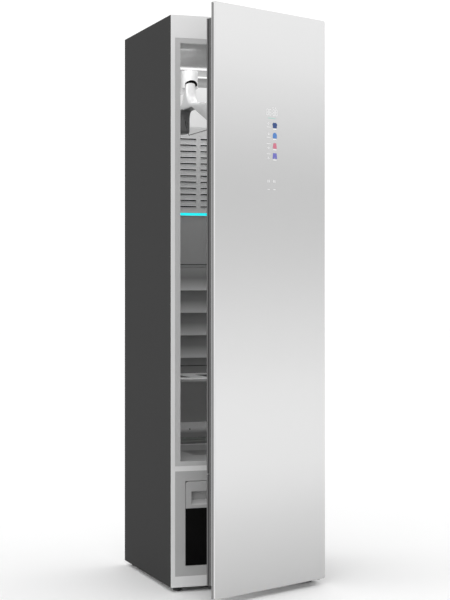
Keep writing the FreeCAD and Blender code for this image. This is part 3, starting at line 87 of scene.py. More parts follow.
class Effects:
    """Shader node groups that several finishes share, and the helpers that wire them."""

    @staticmethod
    def group(
        name: str, inputs: dict[str, tuple[str, object]], outputs: dict[str, str]
    ) -> tuple[bpy.types.NodeTree, bpy.types.Node, bpy.types.Node]:
        """Start a node group.

        Args:
            name: Name of the group.
            inputs: Socket type and preset value of each input.
            outputs: Socket type of each output.

        Returns:
            The group with its input and output nodes.
        """
        tree = bpy.data.node_groups.new(name, "ShaderNodeTree")
        for label, (kind, value) in inputs.items():
            socket = tree.interface.new_socket(label, in_out="INPUT", socket_type=kind)
            socket.default_value = value
        for label, kind in outputs.items():
            tree.interface.new_socket(label, in_out="OUTPUT", socket_type=kind)
        return tree, tree.nodes.new("NodeGroupInput"), tree.nodes.new("NodeGroupOutput")

    @staticmethod
    def feed(
        tree: bpy.types.NodeTree, node: bpy.types.Node, sources: dict[str | int, object]
    ) -> bpy.types.Node:
        """Give a node's inputs their values or links.

        Args:
            tree: Node tree of the node.
            node: The node.
            sources: Value or source socket of each input.

        Returns:
            The node.
        """
        for label, source in sources.items():
            if isinstance(source, bpy.types.NodeSocket):
                tree.links.new(source, node.inputs[label])
            else:
                node.inputs[label].default_value = source
        return node

    @classmethod
    def use(
        cls, tree: bpy.types.NodeTree, group: bpy.types.NodeTree, sources: dict[str, object]
    ) -> bpy.types.Node:
        """Place a node group in a material.

        Args:
            tree: The material's node tree.
            group: The node group.
            sources: Value or source socket of each input.

        Returns:
            The group's node.
        """
        node = tree.nodes.new("ShaderNodeGroup")
        node.node_tree = group
        return cls.feed(tree, node, sources)

    @classmethod
    def noise(
        cls, tree: bpy.types.NodeTree, vector: bpy.types.NodeSocket,
        scale: bpy.types.NodeSocket, detail: float,
    ) -> bpy.types.NodeSocket:
        """Add a noise texture.

        Args:
            tree: Node tree that gets the texture.
            vector: Coordinates.
            scale: Scale of the noise.
            detail: Octaves.

        Returns:
            The noise value.
        """
        return cls.feed(tree, tree.nodes.new("ShaderNodeTexNoise"), {
            "Vector": vector, "Scale": scale, "Detail": detail}).outputs["Fac"]

    @classmethod
    def calculate(
        cls, tree: bpy.types.NodeTree, sign: str, first: bpy.types.NodeSocket,
        second: bpy.types.NodeSocket | float,
    ) -> bpy.types.NodeSocket:
        """Add a math node.

        Args:
            tree: Node tree that gets the node.
            sign: Operation of the node.
            first: First value.
            second: Second value, as a number or a socket.

        Returns:
            The result.
        """
        node = tree.nodes.new("ShaderNodeMath")
        node.operation = sign
        return cls.feed(tree, node, {0: first, 1: second}).outputs["Value"]

    @classmethod
    def swing(
        cls, tree: bpy.types.NodeTree, noise: bpy.types.NodeSocket,
        amount: bpy.types.NodeSocket, middle: bpy.types.NodeSocket | float,
    ) -> bpy.types.NodeSocket:
        """Turn a noise value into a swing about a middle.

        Args:
            tree: Node tree that gets the nodes.
            noise: The noise value.
            amount: Width of the swing.
            middle: Its middle, as a number or a socket.

        Returns:
            The result.
        """
        centred = cls.calculate(tree, "SUBTRACT", noise, 0.5)
        scaled = cls.calculate(tree, "MULTIPLY", centred, amount)
        return cls.calculate(tree, "ADD", scaled, middle)

    @classmethod
    def mix(
        cls, tree: bpy.types.NodeTree, blend: str, factor: bpy.types.NodeSocket | float,
        first: bpy.types.NodeSocket, second: object,
    ) -> bpy.types.NodeSocket:
        """Mix two colours.

        Args:
            tree: Node tree that gets the node.
            blend: Way of mixing.
            factor: Share of the second colour, as a number or a socket.
            first: First colour.
            second: Second colour, as numbers or a socket.

        Returns:
            The mixed colour.
        """
        node = tree.nodes.new("ShaderNodeMix")
        node.data_type, node.blend_type = "RGBA", blend
        return cls.feed(tree, node, {
            "Factor": factor, "A": first, "B": second}).outputs["Result"]

    @classmethod
    def vector(
        cls, tree: bpy.types.NodeTree, sign: str, sources: dict[str | int, object]
    ) -> bpy.types.NodeSocket:
        """Add a vector math node.

        Args:
            tree: Node tree that gets the node.
            sign: Operation of the node.
            sources: Value or source socket of each input.

        Returns:
            The resulting vector.
        """
        node = tree.nodes.new("ShaderNodeVectorMath")
        node.operation = sign
        return cls.feed(tree, node, sources).outputs["Vector"]

    @staticmethod
    def place(tree: bpy.types.NodeTree) -> bpy.types.NodeSocket:
        """Object coordinates in a node tree."""
        return tree.nodes.new("ShaderNodeTexCoord").outputs["Object"]

    @classmethod
    @cache
    def drift(cls) -> bpy.types.NodeTree:
        """Group that lets a colour drift a little in lightness over a surface.

        Returns:
            The group, with inputs Colour, Amount and Scale, and output Colour.
        """
        tree, taken, given = cls.group(
            "tone_drift",
            {"Colour": ("NodeSocketColor", (0.5, 0.5, 0.5, 1.0)),
             "Amount": ("NodeSocketFloat", 0.03), "Scale": ("NodeSocketFloat", 6.0)},
            {"Colour": "NodeSocketColor"})
        broad = cls.noise(tree, cls.place(tree), taken.outputs["Scale"], 3.0)
        share = cls.swing(tree, broad, taken.outputs["Amount"], 1.0)
        scaled = cls.vector(tree, "SCALE", {0: taken.outputs["Colour"], "Scale": share})
        cls.feed(tree, given, {"Colour": scaled})
        return tree

    @classmethod
    @cache
    def relief(cls) -> bpy.types.NodeTree:
        """Group for fine relief: even grain, or grain drawn out into lines.

        Returns:
            The group, with inputs Scale, Stretch, Base roughness and Roughness swing, and
            outputs Height and Roughness.
        """
        tree, taken, given = cls.group(
            "fine_relief",
            {"Scale": ("NodeSocketFloat", 1500.0),
             "Stretch": ("NodeSocketVector", (1.0, 1.0, 1.0)),
             "Base roughness": ("NodeSocketFloat", 0.4),
             "Roughness swing": ("NodeSocketFloat", 0.08)},
            {"Height": "NodeSocketFloat", "Roughness": "NodeSocketFloat"})
        drawn = cls.vector(tree, "MULTIPLY", {0: cls.place(tree), 1: taken.outputs["Stretch"]})
        fine = cls.noise(tree, drawn, taken.outputs["Scale"], 2.0)
        rough = cls.swing(
            tree, fine, taken.outputs["Roughness swing"], taken.outputs["Base roughness"])
        cls.feed(tree, given, {"Height": fine, "Roughness": rough})
        return tree

    @classmethod
    @cache
    def dust(cls) -> bpy.types.NodeTree:
        """Group for a light film on faces that look up.

        Returns:
            The group, with inputs Amount and Scale, and output Mask.
        """
        tree, taken, given = cls.group(
            "settled_film",
            {"Amount": ("NodeSocketFloat", 0.1), "Scale": ("NodeSocketFloat", 25.0)},
            {"Mask": "NodeSocketFloat"})
        shape = tree.nodes.new("ShaderNodeNewGeometry")
        parts = cls.feed(tree, tree.nodes.new("ShaderNodeSeparateXYZ"), {
            "Vector": shape.outputs["Normal"]})
        upward = cls.calculate(tree, "MAXIMUM", parts.outputs["Z"], 0.0)
        patches = cls.noise(tree, cls.place(tree), taken.outputs["Scale"], 4.0)
        film = cls.calculate(tree, "MULTIPLY", upward, patches)
        mask = cls.calculate(tree, "MULTIPLY", film, taken.outputs["Amount"])
        cls.feed(tree, given, {"Mask": mask})
        return tree

    @classmethod
    @cache
    def soft_edge(cls) -> bpy.types.NodeTree:
        """Group that rounds the shading of edges, as a mould or a bend does.

        Returns:
            The group, with input Radius and output Normal.
        """
        tree, taken, given = cls.group(
            "soft_edge", {"Radius": ("NodeSocketFloat", 0.0008)}, {"Normal": "NodeSocketVector"})
        round_off = cls.feed(tree, tree.nodes.new("ShaderNodeBevel"), {
            "Radius": taken.outputs["Radius"]})
        round_off.samples = 4
        cls.feed(tree, given, {"Normal": round_off.outputs["Normal"]})
        return tree


# ---------------------------------------------------------------- finishes

# Noise scale, stretch and bump strength of each texture.
RELIEF = {
    Texture.SMOOTH: (900.0, (1.0, 1.0, 1.0), 0.02),
    Texture.MOULDED: (1400.0, (1.0, 1.0, 1.0), 0.12),
    Texture.PAINTED: (450.0, (1.0, 1.0, 1.0), 0.08),
    Texture.BRUSHED: (1200.0, (1.0, 1.0, 0.02), 0.10),
    Texture.FOAM: (260.0, (1.0, 1.0, 1.0), 0.5),
}
# Widest swing of the roughness, and depth of the relief.
MOST_SWING = 0.12
RELIEF_HEIGHT = 0.0003
COAT_ROUGHNESS = 0.06
DUST_COLOUR = (0.55, 0.54, 0.52, 1.0)
MATERIALS: dict[str, bpy.types.Material] = {}


@dataclass(frozen=True)
class Finish:
    """A paint, plastic, glass or metal.

    Attributes:
        name: Name of the material.
        slot: Material slot of the record; not used.
        colour: Base colour, linear.
        roughness: Mean roughness.
        texture: Kind of fine relief.
        metallic: 1 for bare metal.
        coat: Clear coat over the colour.
        drift: Change of lightness over the surface.
        edge: Radius of the softened edges.
        film: Light film on faces that look up.
        glow: Strength of the light given off: a lamp's own light, or painted light on a part that
            is no lamp.
        shine: Specular level of a plastic or paint.
        rise: Stops of painted light and shade from low to high: (height in metres, share of the
            colour).
        crisp: Straight change from stop to stop.
    """

    name: str
    slot: str
    colour: Colour
    roughness: float = 0.45
    texture: Texture = Texture.MOULDED
    metallic: float = 0.0
    coat: float = 0.0
    drift: float = 0.05
    edge: float = 0.0006
    film: float = 0.0
    glow: float = 0.0
    shine: float = 0.5
    rise: tuple[tuple[float, float], ...] = ()
    crisp: bool = False

    def material(self) -> bpy.types.Material:
        """The finish's material, built on first use.

        Returns:
            The material.
        """
        if self.name in MATERIALS:
            return MATERIALS[self.name]
        made = bpy.data.materials.new(f"{self.name}_finish")
        MATERIALS[self.name] = made
        made.use_nodes = True
        tree = made.node_tree
        shader = next(n for n in tree.nodes if n.type == "BSDF_PRINCIPLED")
        Effects.feed(tree, shader, {
            "Metallic": self.metallic, "Specular IOR Level": self.shine,
            "Coat Weight": self.coat, "Coat Roughness": COAT_ROUGHNESS})
        self.add_colour(tree, shader)
        self.add_relief(tree, shader)
        if self.glow > 0:
            Effects.feed(tree, shader, {
                "Emission Color": (*self.colour, 1.0), "Emission Strength": self.glow})
        made.diffuse_color = (*self.colour, 1.0)
        return made

    def add_colour(self, tree: bpy.types.NodeTree, shader: bpy.types.Node) -> None:
        """Wire the base colour with its drift, its painted light and shade with height, and its
        film.

        Args:
            tree: The material's node tree.
            shader: The material's shader.
        """
        drift = Effects.use(tree, Effects.drift(), {
            "Colour": (*self.colour, 1.0), "Amount": self.drift})
        colour = drift.outputs["Colour"]
        # Painted light and shade: a lightness ramp with height.
        if self.rise:
            colour = self.add_painted_light_ramp(tree, colour)
        if self.film > 0:
            film = Effects.use(tree, Effects.dust(), {"Amount": self.film})
            colour = Effects.mix(tree, "MIX", film.outputs["Mask"], colour, DUST_COLOUR)
        tree.links.new(colour, shader.inputs["Base Color"])

    def add_painted_light_ramp(
        self, tree: bpy.types.NodeTree, colour: bpy.types.NodeSocket
    ) -> bpy.types.NodeSocket:
        """Wire painted light and shade: a change of lightness with height.

        Args:
            tree: The material's node tree.
            colour: The colour so far.

        Returns:
            The changed colour.
        """
        low, high = self.rise[0][0], self.rise[-1][0]
        parts = Effects.feed(tree, tree.nodes.new("ShaderNodeSeparateXYZ"), {
            "Vector": Effects.place(tree)})
        level = Effects.feed(tree, tree.nodes.new("ShaderNodeMapRange"), {
            "From Min": low, "From Max": high, "Value": parts.outputs["Z"]})
        curve = tree.nodes.new("ShaderNodeValToRGB")
        curve.color_ramp.interpolation = "LINEAR" if self.crisp else "B_SPLINE"
        stops = curve.color_ramp.elements
        while len(stops) < len(self.rise):
            stops.new(0.5)
        for stop, (height, share) in zip(stops, self.rise):
            stop.position = (height - low) / (high - low)
            stop.color = (share, share, share, 1.0)
        tree.links.new(level.outputs["Result"], curve.inputs["Fac"])
        return Effects.mix(tree, "MULTIPLY", 1.0, colour, curve.outputs["Color"])

    def add_relief(self, tree: bpy.types.NodeTree, shader: bpy.types.Node) -> None:
        """Wire the roughness, the fine relief and the softened edges.

        Args:
            tree: The material's node tree.
            shader: The material's shader.
        """
        scale, stretch, strength = RELIEF[self.texture]
        relief = Effects.use(tree, Effects.relief(), {
            "Scale": scale, "Stretch": stretch, "Base roughness": self.roughness,
            "Roughness swing": min(self.roughness, MOST_SWING)})
        tree.links.new(relief.outputs["Roughness"], shader.inputs["Roughness"])
        bump = Effects.feed(tree, tree.nodes.new("ShaderNodeBump"), {
            "Strength": strength, "Distance": RELIEF_HEIGHT,
            "Height": relief.outputs["Height"]})
        if self.edge > 0:
            soft = Effects.use(tree, Effects.soft_edge(), {"Radius": self.edge})
            tree.links.new(soft.outputs["Normal"], bump.inputs["Normal"])
        tree.links.new(bump.outputs["Normal"], shader.inputs["Normal"])


def grey(level: float) -> Colour:
    """A neutral colour.

    Args:
        level: Linear lightness.

    Returns:
        The colour.
    """
    return (level, level, level)


# Painted reflection on the glass: darker in a broad band at about two thirds of its height, and at
# its foot.
GLASS_PAINTED_REFLECTION = (
    (0.02, 0.62), (0.25, 0.83), (0.42, 1.0), (0.75, 0.97), (1.26, 0.51), (1.62, 0.95), (1.85, 1.0))

SIDE_PAINT = Finish("side_paint", "side_paint", grey(0.038), 0.8, Texture.PAINTED, drift=0.02,
                    shine=0.08)
FRAME_PAINT = Finish("frame_paint", "frame_paint", grey(0.71), 0.4, Texture.PAINTED, drift=0.03)
TRIM_PLASTIC = Finish("trim_plastic", "trim_plastic", grey(0.46), 0.5)
CHAMBER_PLASTIC = Finish("chamber_plastic", "chamber_plastic", grey(0.72), 0.42)
# Painted light: the panel over the slots glows strongly in place of the lamp's light falling on
# it.
PANEL_PAINTED_GLOW = Finish("panel_painted_glow", "chamber_plastic", grey(0.22), 0.3, glow=2.5)
BAND_GREY = Finish("band_grey", "chamber_plastic", grey(0.34), 0.5, edge=0)
# Painted highlight: near-white with a faint glow, for the vent lips and the ledge face, edges that
# catch the light.
LIP_PAINTED_HIGHLIGHT = Finish("lip_painted_highlight", "chamber_plastic", grey(0.92), 0.3, edge=0, glow=0.06)
# Painted shadow: the cove under the ledge is a darker grey, darker still towards its top.
COVE_PAINTED_SHADOW = Finish("cove_painted_shadow", "chamber_plastic", grey(0.40), 0.5, rise=(
    (1.686, 1.0), (1.698, 0.9), (1.708, 0.4), (1.717, 0.35)))
VENT_PLASTIC = Finish("vent_plastic", "chamber_plastic", grey(0.78), 0.42)
SHINGLE_PLASTIC = Finish("shingle_plastic", "chamber_plastic", grey(0.68), 0.42, crisp=True)
# Painted light and shade: the hood glows faintly and is dark at its foot, light towards its top.
HOOD_PAINTED_LIGHT = Finish("hood_painted_light", "chamber_plastic", grey(0.95), 0.42, glow=0.06, rise=(
    (0.462, 0.0), (0.468, 0.05), (0.478, 0.7), (0.485, 1.0)))
# Painted light: the chamber floor glows faintly to lighten it where the shelf shades it.
FLOOR_PAINTED_GLOW = Finish("floor_painted_glow", "chamber_plastic", grey(0.45), 0.42, glow=0.08)
FILTER_GREY = Finish("filter_grey", "charcoal_plastic", grey(0.40), 0.6, edge=0)
# Pale plastic for the shelf and the outlet sills, with a faint glow that is painted light.
SHELF_PAINTED_GLOW = Finish("shelf_painted_glow", "chamber_plastic", grey(0.92), 0.35, glow=0.06)
CEILING_GREY = Finish("ceiling_grey", "chamber_plastic", grey(0.26), 0.5)
# Painted light and shade: the white glows faintly and darkens towards the foot of the hangers.
HANGER_WHITE_PAINTED_LIGHT = Finish(
    "hanger_white", "hanger_white", grey(0.86), 0.22, Texture.SMOOTH, coat=0.4, edge=0.002,
    glow=0.12, rise=((1.515, 0.45), (1.555, 0.6), (1.595, 1.0)))
CHARCOAL = Finish("charcoal_plastic", "charcoal_plastic", grey(0.06), 0.42, edge=0.002)
# Painted shade: near-black for the inside of openings: vent slots, air arm sockets, trouser slots
# and the outlet's nozzle.
SHADE_BLACK = Finish("painted_shade_black", "charcoal_plastic", grey(0.004), 0.8, edge=0, shine=0.1)
ARM_GREY = Finish("arm_grey", "charcoal_plastic", grey(0.16), 0.4, edge=0.002)
# Painted reflection: the steel trouser bars are painted dark grey, as steel shows the dark chamber
# it reflects.
BAR_PAINTED_REFLECTION = Finish("bar_painted_reflection", "wire_steel", grey(0.09), 0.25, Texture.SMOOTH, coat=0.3, edge=0)
WIRE_STEEL = Finish(
    "wire_steel", "wire_steel", grey(0.42), 0.22, Texture.BRUSHED, metallic=1.0, edge=0)
CYAN_LIGHT = Finish(
    "cyan_light", "cyan_light", (0.012, 0.80, 0.84), 0.3, Texture.SMOOTH, glow=0.85, drift=0.01)
LAMP_WHITE = Finish(
    "lamp_white", "lamp_white", grey(0.95), 0.3, Texture.SMOOTH, glow=0.8, drift=0.01)
DOOR_GLASS = Finish(
    "door_glass", "door_glass", grey(0.70), 0.16, Texture.SMOOTH, coat=0.5, drift=0.015,
    edge=0.0012, rise=GLASS_PAINTED_REFLECTION)
GLASS_SIDE = Finish("glass_side", "door_glass", grey(0.16), 0.4, Texture.SMOOTH, edge=0)
GLASS_EDGE = Finish("glass_edge", "door_glass", grey(0.68), 0.4, Texture.SMOOTH, edge=0)
TRIM_METAL = Finish(
    "trim_metal", "trim_metal", grey(0.26), 0.35, Texture.BRUSHED, metallic=0.8, edge=0.001)
DOOR_LINER = Finish("door_liner", "door_liner", grey(0.62), 0.45, edge=0.002)
GASKET_RUBBER = Finish("gasket_rubber", "gasket_rubber", grey(0.09), 0.7, edge=0.0015)
LOWER_GREY = Finish("lower_grey", "lower_grey", grey(0.40), 0.5)
# Painted light: a lighter copy of the tank covers' grey for the grip ramps.
RAMP_PAINTED_LIGHT = Finish("ramp_painted_light", "lower_grey", grey(0.66), 0.5, edge=0)
COVER_GREY = Finish("cover_grey", "lower_grey", grey(0.39), 0.45, edge=0.0012)
TANK_BLACK = Finish(
    "tank_black", "tank_black", grey(0.002), 0.3, Texture.SMOOTH, shine=0.1, drift=0.1)
ZINC_STEEL = Finish(
    "zinc_steel", "zinc_steel", grey(0.42), 0.38, Texture.BRUSHED, metallic=0.9, film=0.3)
FOAM = Finish("foam", "foam", (0.78, 0.74, 0.60), 0.9, Texture.FOAM, edge=0)
MACHINE_BLACK = Finish("machine_black", "machine_black", grey(0.02), 0.25, Texture.PAINTED,
                       coat=0.3, film=0.3)
BOILER_GREY = Finish("boiler_grey", "boiler_grey", grey(0.11), 0.55, film=0.3)
COIL_ALUMINIUM = Finish("coil_aluminium", "coil_aluminium", grey(0.55), 0.35, Texture.BRUSHED,
                        metallic=1.0, edge=0)
PIPE_CLEAR = Finish("pipe_clear", "pipe_clear", (0.50, 0.52, 0.50), 0.3, Texture.SMOOTH, coat=0.3)
FOOT_BLACK = Finish("foot_black", "foot_black", grey(0.012), 0.6, edge=0.0015, film=0.2)
PRINT_WHITE = Finish("print_white", "door_glass", grey(0.88), 0.4, Texture.SMOOTH, glow=0.05)
PRINT_PALE = Finish("print_pale", "door_glass", grey(0.84), 0.4, Texture.SMOOTH)
PRINT_TEAL = Finish("print_teal", "door_glass", (0.34, 0.62, 0.54), 0.4, Texture.SMOOTH)
PRINT_NAVY = Finish("print_navy", "door_glass", (0.012, 0.05, 0.19), 0.4, Texture.SMOOTH)
PRINT_BLUE = Finish("print_blue", "door_glass", (0.07, 0.20, 0.50), 0.4, Texture.SMOOTH)
PRINT_PINK = Finish("print_pink", "door_glass", (0.56, 0.15, 0.22), 0.4, Texture.SMOOTH)
PRINT_VIOLET = Finish("print_violet", "door_glass", (0.14, 0.14, 0.46), 0.4, Texture.SMOOTH)
FLOOR_WHITE = Finish("floor_white", "frame_paint", grey(0.93), 0.7, Texture.SMOOTH, drift=0.01,
                     edge=0)


# ---------------------------------------------------------------- shapes

# Radius of an arc for each of its straight runs.
ARC_RUN = 0.002
# Sharpest mitre that an inset keeps, as the cosine of half the turn.
MITRE = 0.5
# Edges flatter than these angles, in degrees, are neither rounded nor crisp.
ROUNDED_ANGLE = 35.0
CRISP_ANGLE = 40.0
ROUNDED_RUNS = 2


@dataclass
class Shape:
    """Faces of one piece before it becomes an object.

    Attributes:
        points: Corners, in metres.
        faces: Corner numbers of each face.
    """

    points: list[Vector] = field(default_factory=list)
    faces: list[tuple[int, ...]] = field(default_factory=list)

    def skin(self, rows: list[list[Vector]], around: bool, along: bool) -> int:
        """Add the faces between rows with equally many points.

        Args:
            rows: The rows in order.
            around: Join each row's last point to its first.
            along: Join the last row to the first.

        Returns:
            Number of the first point.
        """
        first, count = len(self.points), len(rows[0])
        for row in rows:
            self.points += row
        for row in range(len(rows) if along else len(rows) - 1):
            here = first + row * count
            there = first + (row + 1) % len(rows) * count
            for index in range(count if around else count - 1):
                after = (index + 1) % count
                self.faces.append((here + index, here + after, there + after, there + index))
        return first

    def loft(self, rings: list[list[Vector]]) -> "Shape":
        """Add a solid through closed rings with equally many points.

        Args:
            rings: The rings in order; the first and the last are closed.

        Returns:
            The shape itself.
        """
        first, count = self.skin(rings, around=True, along=False), len(rings[0])
        last = first + (len(rings) - 1) * count
        self.faces.append(tuple(reversed(range(first, first + count))))
        self.faces.append(tuple(range(last, last + count)))
        return self

    def prism(self, axis: Axis, start: float, end: float, outline: Outline) -> "Shape":
        """Add an outline extruded between two levels.

        Args:
            axis: Direction of the extrusion.
            start: First level.
            end: Second level.
            outline: Corners in order.

        Returns:
            The shape itself.
        """
        return self.loft([ring(axis, level, outline) for level in (start, end)])

    def frame(
        self, axis: Axis, start: float, end: float, outer: Outline, inner: Outline
    ) -> "Shape":
        """Add a closed frame between two outlines with equally many corners.

        Args:
            axis: Direction of the extrusion.
            start: First level.
            end: Second level.
            outer: Outer corners in order.
            inner: Inner corners in the same order.

        Returns:
            The shape itself.
        """
        self.skin([ring(axis, start, outer), ring(axis, start, inner),
                   ring(axis, end, inner), ring(axis, end, outer)], around=True, along=True)
        return self

    def lathe(
        self, centre: tuple[float, float], profile: Outline, segments: int = 48
    ) -> "Shape":
        """Add a solid turned about an upright axis.

        Args:
            centre: Place of the axis in X and Y.
            profile: (radius, height) pairs; the ends are closed.
            segments: Sides of the turning.

        Returns:
            The shape itself.
        """
        return self.loft([ring(Axis.Z, height, disc_outline(*centre, radius, segments))
                          for radius, height in profile])

    def tube(self, path: list[Vector], radius: float, segments: int = 12) -> "Shape":
        """Add a round tube along a path.

        Args:
            path: Points of its middle line.
            radius: Radius of the tube.
            segments: Sides of the tube.

        Returns:
            The shape itself.
        """
        rings = []
        side = None
        for index, point in enumerate(path):
            ahead = path[min(index + 1, len(path) - 1)] - path[max(index - 1, 0)]
            ahead.normalize()
            if side is None:
                side = ahead.orthogonal().normalized()
            side = (side - ahead * side.dot(ahead)).normalized()
            other = ahead.cross(side)
            rings.append([point + side * u + other * v
                          for u, v in disc_outline(0.0, 0.0, radius, segments)])
        return self.loft(rings)

    def cushion(
        self, axis: Axis, start: float, end: float, outline: Outline, round_off: "RoundOff"
    ) -> "Shape":
        """Add an outline extruded between two levels, its two faces curving in at the rim.

        Args:
            axis: Direction of the extrusion.
            start: First level.
            end: Second level.
            outline: Corners in order, turning left.
            round_off: How far the rim curves in.

        Returns:
            The shape itself.
        """
        levels = []
        for step in range(round_off.steps + 1):
            angle = math.pi / 2 * step / round_off.steps
            levels.append((start + round_off.depth * (1 - math.cos(angle)), 1 - math.sin(angle)))
        levels += [(start + end - level, share) for level, share in reversed(levels)]
        return self.loft([ring(axis, level, shrunk(outline, round_off, share))
                          for level, share in levels])


def ring(axis: Axis, level: float, outline: Outline) -> list[Vector]:
    """An outline's points at a level.

    Args:
        axis: Direction of the levels.
        level: The level.
        outline: Corners in order.

    Returns:
        The points.
    """
    if axis is Axis.X:
        return [Vector((level, u, v)) for u, v in outline]
    if axis is Axis.Y:
        return [Vector((u, level, v)) for u, v in outline]
    return [Vector((u, v, level)) for u, v in outline]


@dataclass(frozen=True)
class RoundOff:
    """How the rim of a cushion shape curves in.

    Attributes:
        depth: Reach of the curve along the extrusion.
        inset: How far the two faces are drawn in from the outline.
        crown: Extra inset along edges that look up.
        steps: Straight runs of the curve.
    """

    depth: float
    inset: float
    crown: float = 0.0
    steps: int = 8


def shrunk(outline: Outline, round_off: RoundOff, share: float) -> Outline:
    """An outline drawn in along its normals.

    Args:
        outline: Corners in order, turning left.
        round_off: Inset of the faces.
        share: Share of that inset.

    Returns:
        The smaller outline.
    """
    inner = []
    count = len(outline)
    for index, corner in enumerate(outline):
        here = Vector(corner)
        before = (here - Vector(outline[index - 1])).normalized()
        after = (Vector(outline[(index + 1) % count]) - here).normalized()
        inward = Vector((-before.y - after.y, before.x + after.x)).normalized()
        lean = max(inward.dot(Vector((-before.y, before.x))), MITRE)
        reach = round_off.inset + round_off.crown * max(-inward.y, 0.0)
        moved = here + inward * reach * share / lean
        inner.append((moved.x, moved.y))
    return inner


def path_outline(corners: list[tuple[float, float, float | None]]) -> Outline:
    """An outline through corners, some of which are reached along an arc.

    Args:
        corners: (u, v, radius); the radius is that of the arc that ends there, positive where
            it turns left, or None for a straight run.

    Returns:
        The outline.
    """
    points: Outline = []
    for index, (u, v, radius) in enumerate(corners):
        if radius is None:
            points.append((u, v))
        else:
            steps = max(3, round(abs(radius) / ARC_RUN))
            points += arc_points(corners[index - 1][:2], (u, v), radius, steps)
    return points


def bent_path(corners: list[Vector], radius: float, steps: int = 6) -> list[Vector]:
    """A wire's middle line through corners, with each bend rounded.

    Args:
        corners: Ends and corners of the wire.
        radius: Distance from a corner to where its bend begins.
        steps: Runs of a bend.

    Returns:
        The points.
    """
    path = [corners[0]]
    for before, here, after in zip(corners, corners[1:], corners[2:]):
        start = here + (before - here).normalized() * radius
        end = here + (after - here).normalized() * radius
        for step in range(steps + 1):
            share = step / steps
            path.append(start.lerp(here, share).lerp(here.lerp(end, share), share))
    return path + [corners[-1]]


def box_outline(u0: float, u1: float, v0: float, v1: float) -> Outline:
    """Corners of a rectangle, in order."""
    return [(u0, v0), (u1, v0), (u1, v1), (u0, v1)]


def round_outline(
    u0: float, u1: float, v0: float, v1: float, radius: float, steps: int = 6
) -> Outline:
    """Corners of a rectangle with rounded corners.

    Args:
        u0: Low side of the first number.
        u1: High side of the first number.
        v0: Low side of the second number.
        v1: High side of the second number.
        radius: Corner radius.
        steps: Straight runs of a corner.

    Returns:
        The outline.
    """
    centres = [(u1 - radius, v0 + radius, -90), (u1 - radius, v1 - radius, 0),
               (u0 + radius, v1 - radius, 90), (u0 + radius, v0 + radius, 180)]
    return [
        (u + radius * math.cos(math.radians(start + 90 * step / steps)),
         v + radius * math.sin(math.radians(start + 90 * step / steps)))
        for u, v, start in centres for step in range(steps + 1)
    ]


def disc_outline(u: float, v: float, radius: float, steps: int = 24) -> Outline:
    """Corners of a circle, in order."""
    return [(u + radius * math.cos(2 * math.pi * step / steps),
             v + radius * math.sin(2 * math.pi * step / steps)) for step in range(steps)]


def arc_points(
    start: tuple[float, float], end: tuple[float, float], radius: float, steps: int
) -> Outline:
    """Points of the short arc between two points, without the first.

    Args:
        start: Where the arc begins.
        end: Where it ends.
        radius: Its radius, positive where it turns left.
        steps: Number of points.

    Returns:
        The points.
    """
    first, last = Vector(start), Vector(end)
    chord = last - first
    left = Vector((-chord.y, chord.x)).normalized()
    reach = math.sqrt(max(radius ** 2 - (chord.length / 2) ** 2, 0))
    centre = (first + last) / 2 + left * math.copysign(reach, radius)
    from_angle = math.atan2(first.y - centre.y, first.x - centre.x)
    to_angle = math.atan2(last.y - centre.y, last.x - centre.x)
    turn = (to_angle - from_angle + math.pi) % (2 * math.pi) - math.pi
    return [
        (centre.x + abs(radius) * math.cos(from_angle + turn * step / steps),
         centre.y + abs(radius) * math.sin(from_angle + turn * step / steps))
        for step in range(1, steps + 1)
    ]


def make_piece(
    name: str, shape: Shape, finish: Finish, body: str,
    rounding: float = 0.0, place: Matrix | None = None,
) -> bpy.types.Object:
    """Turn a shape into a dressed object that rides on a body.

    Args:
        name: Name of the object.
        shape: Its faces.
        finish: Its finish.
        body: CAD body that carries it.
        rounding: Width of its rounded edges.
        place: Where the shape's own axes lie, if not in the row frame.

    Returns:
        The object.
    """
    mesh = bpy.data.meshes.new(name)
    mesh.from_pydata(shape.points, [], shape.faces)
    if place is not None:
        mesh.transform(place)
    mesh.validate()
    mesh.update()
    made = bpy.data.objects.new(name, mesh)
    bpy.context.scene.collection.objects.link(made)
    fix_normals(made)
    if rounding > 0:
        edge = made.modifiers.new("rounded_edges", "BEVEL")
        edge.width = rounding
        edge.segments = ROUNDED_RUNS
        edge.limit_method = "ANGLE"
        edge.angle_limit = math.radians(ROUNDED_ANGLE)
        edge.harden_normals = False
    mesh.shade_smooth()
    mesh.set_sharp_from_angle(angle=math.radians(CRISP_ANGLE))
    mesh.materials.append(finish.material())
    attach(made, body)
    LOG.info("piece %s, %d faces, on %s", name, len(shape.faces), body)
    return made


def fix_normals(made: bpy.types.Object) -> None:
    """Turn every face of a closed piece outwards.

    Args:
        made: The piece.
    """
    work = bmesh.new()
    work.from_mesh(made.data)
    bmesh.ops.recalc_face_normals(work, faces=work.faces)
    work.to_mesh(made.data)
    work.free()


def dress(node: str, finish: Finish) -> None:
    """Give a CAD node its finish.

    Args:
        node: Name of the node.
        finish: Its finish.
    """
    solid = frame["nodes"][node]
    if not solid.material_slots:
        solid.data.materials.append(finish.material())
    for place in solid.material_slots:
        place.link = "OBJECT"
        place.material = finish.material()
    LOG.info("dressed %s in %s", node, finish.name)


def dress_all(finishes: dict[Finish, tuple[str, ...]]) -> None:
    """Give many CAD nodes their finishes.

    Args:
        finishes: The nodes of each finish.
    """
    for finish, nodes in finishes.items():
        for node in nodes:
            dress(node, finish)


# ---------------------------------------------------------------- sub-assemblies


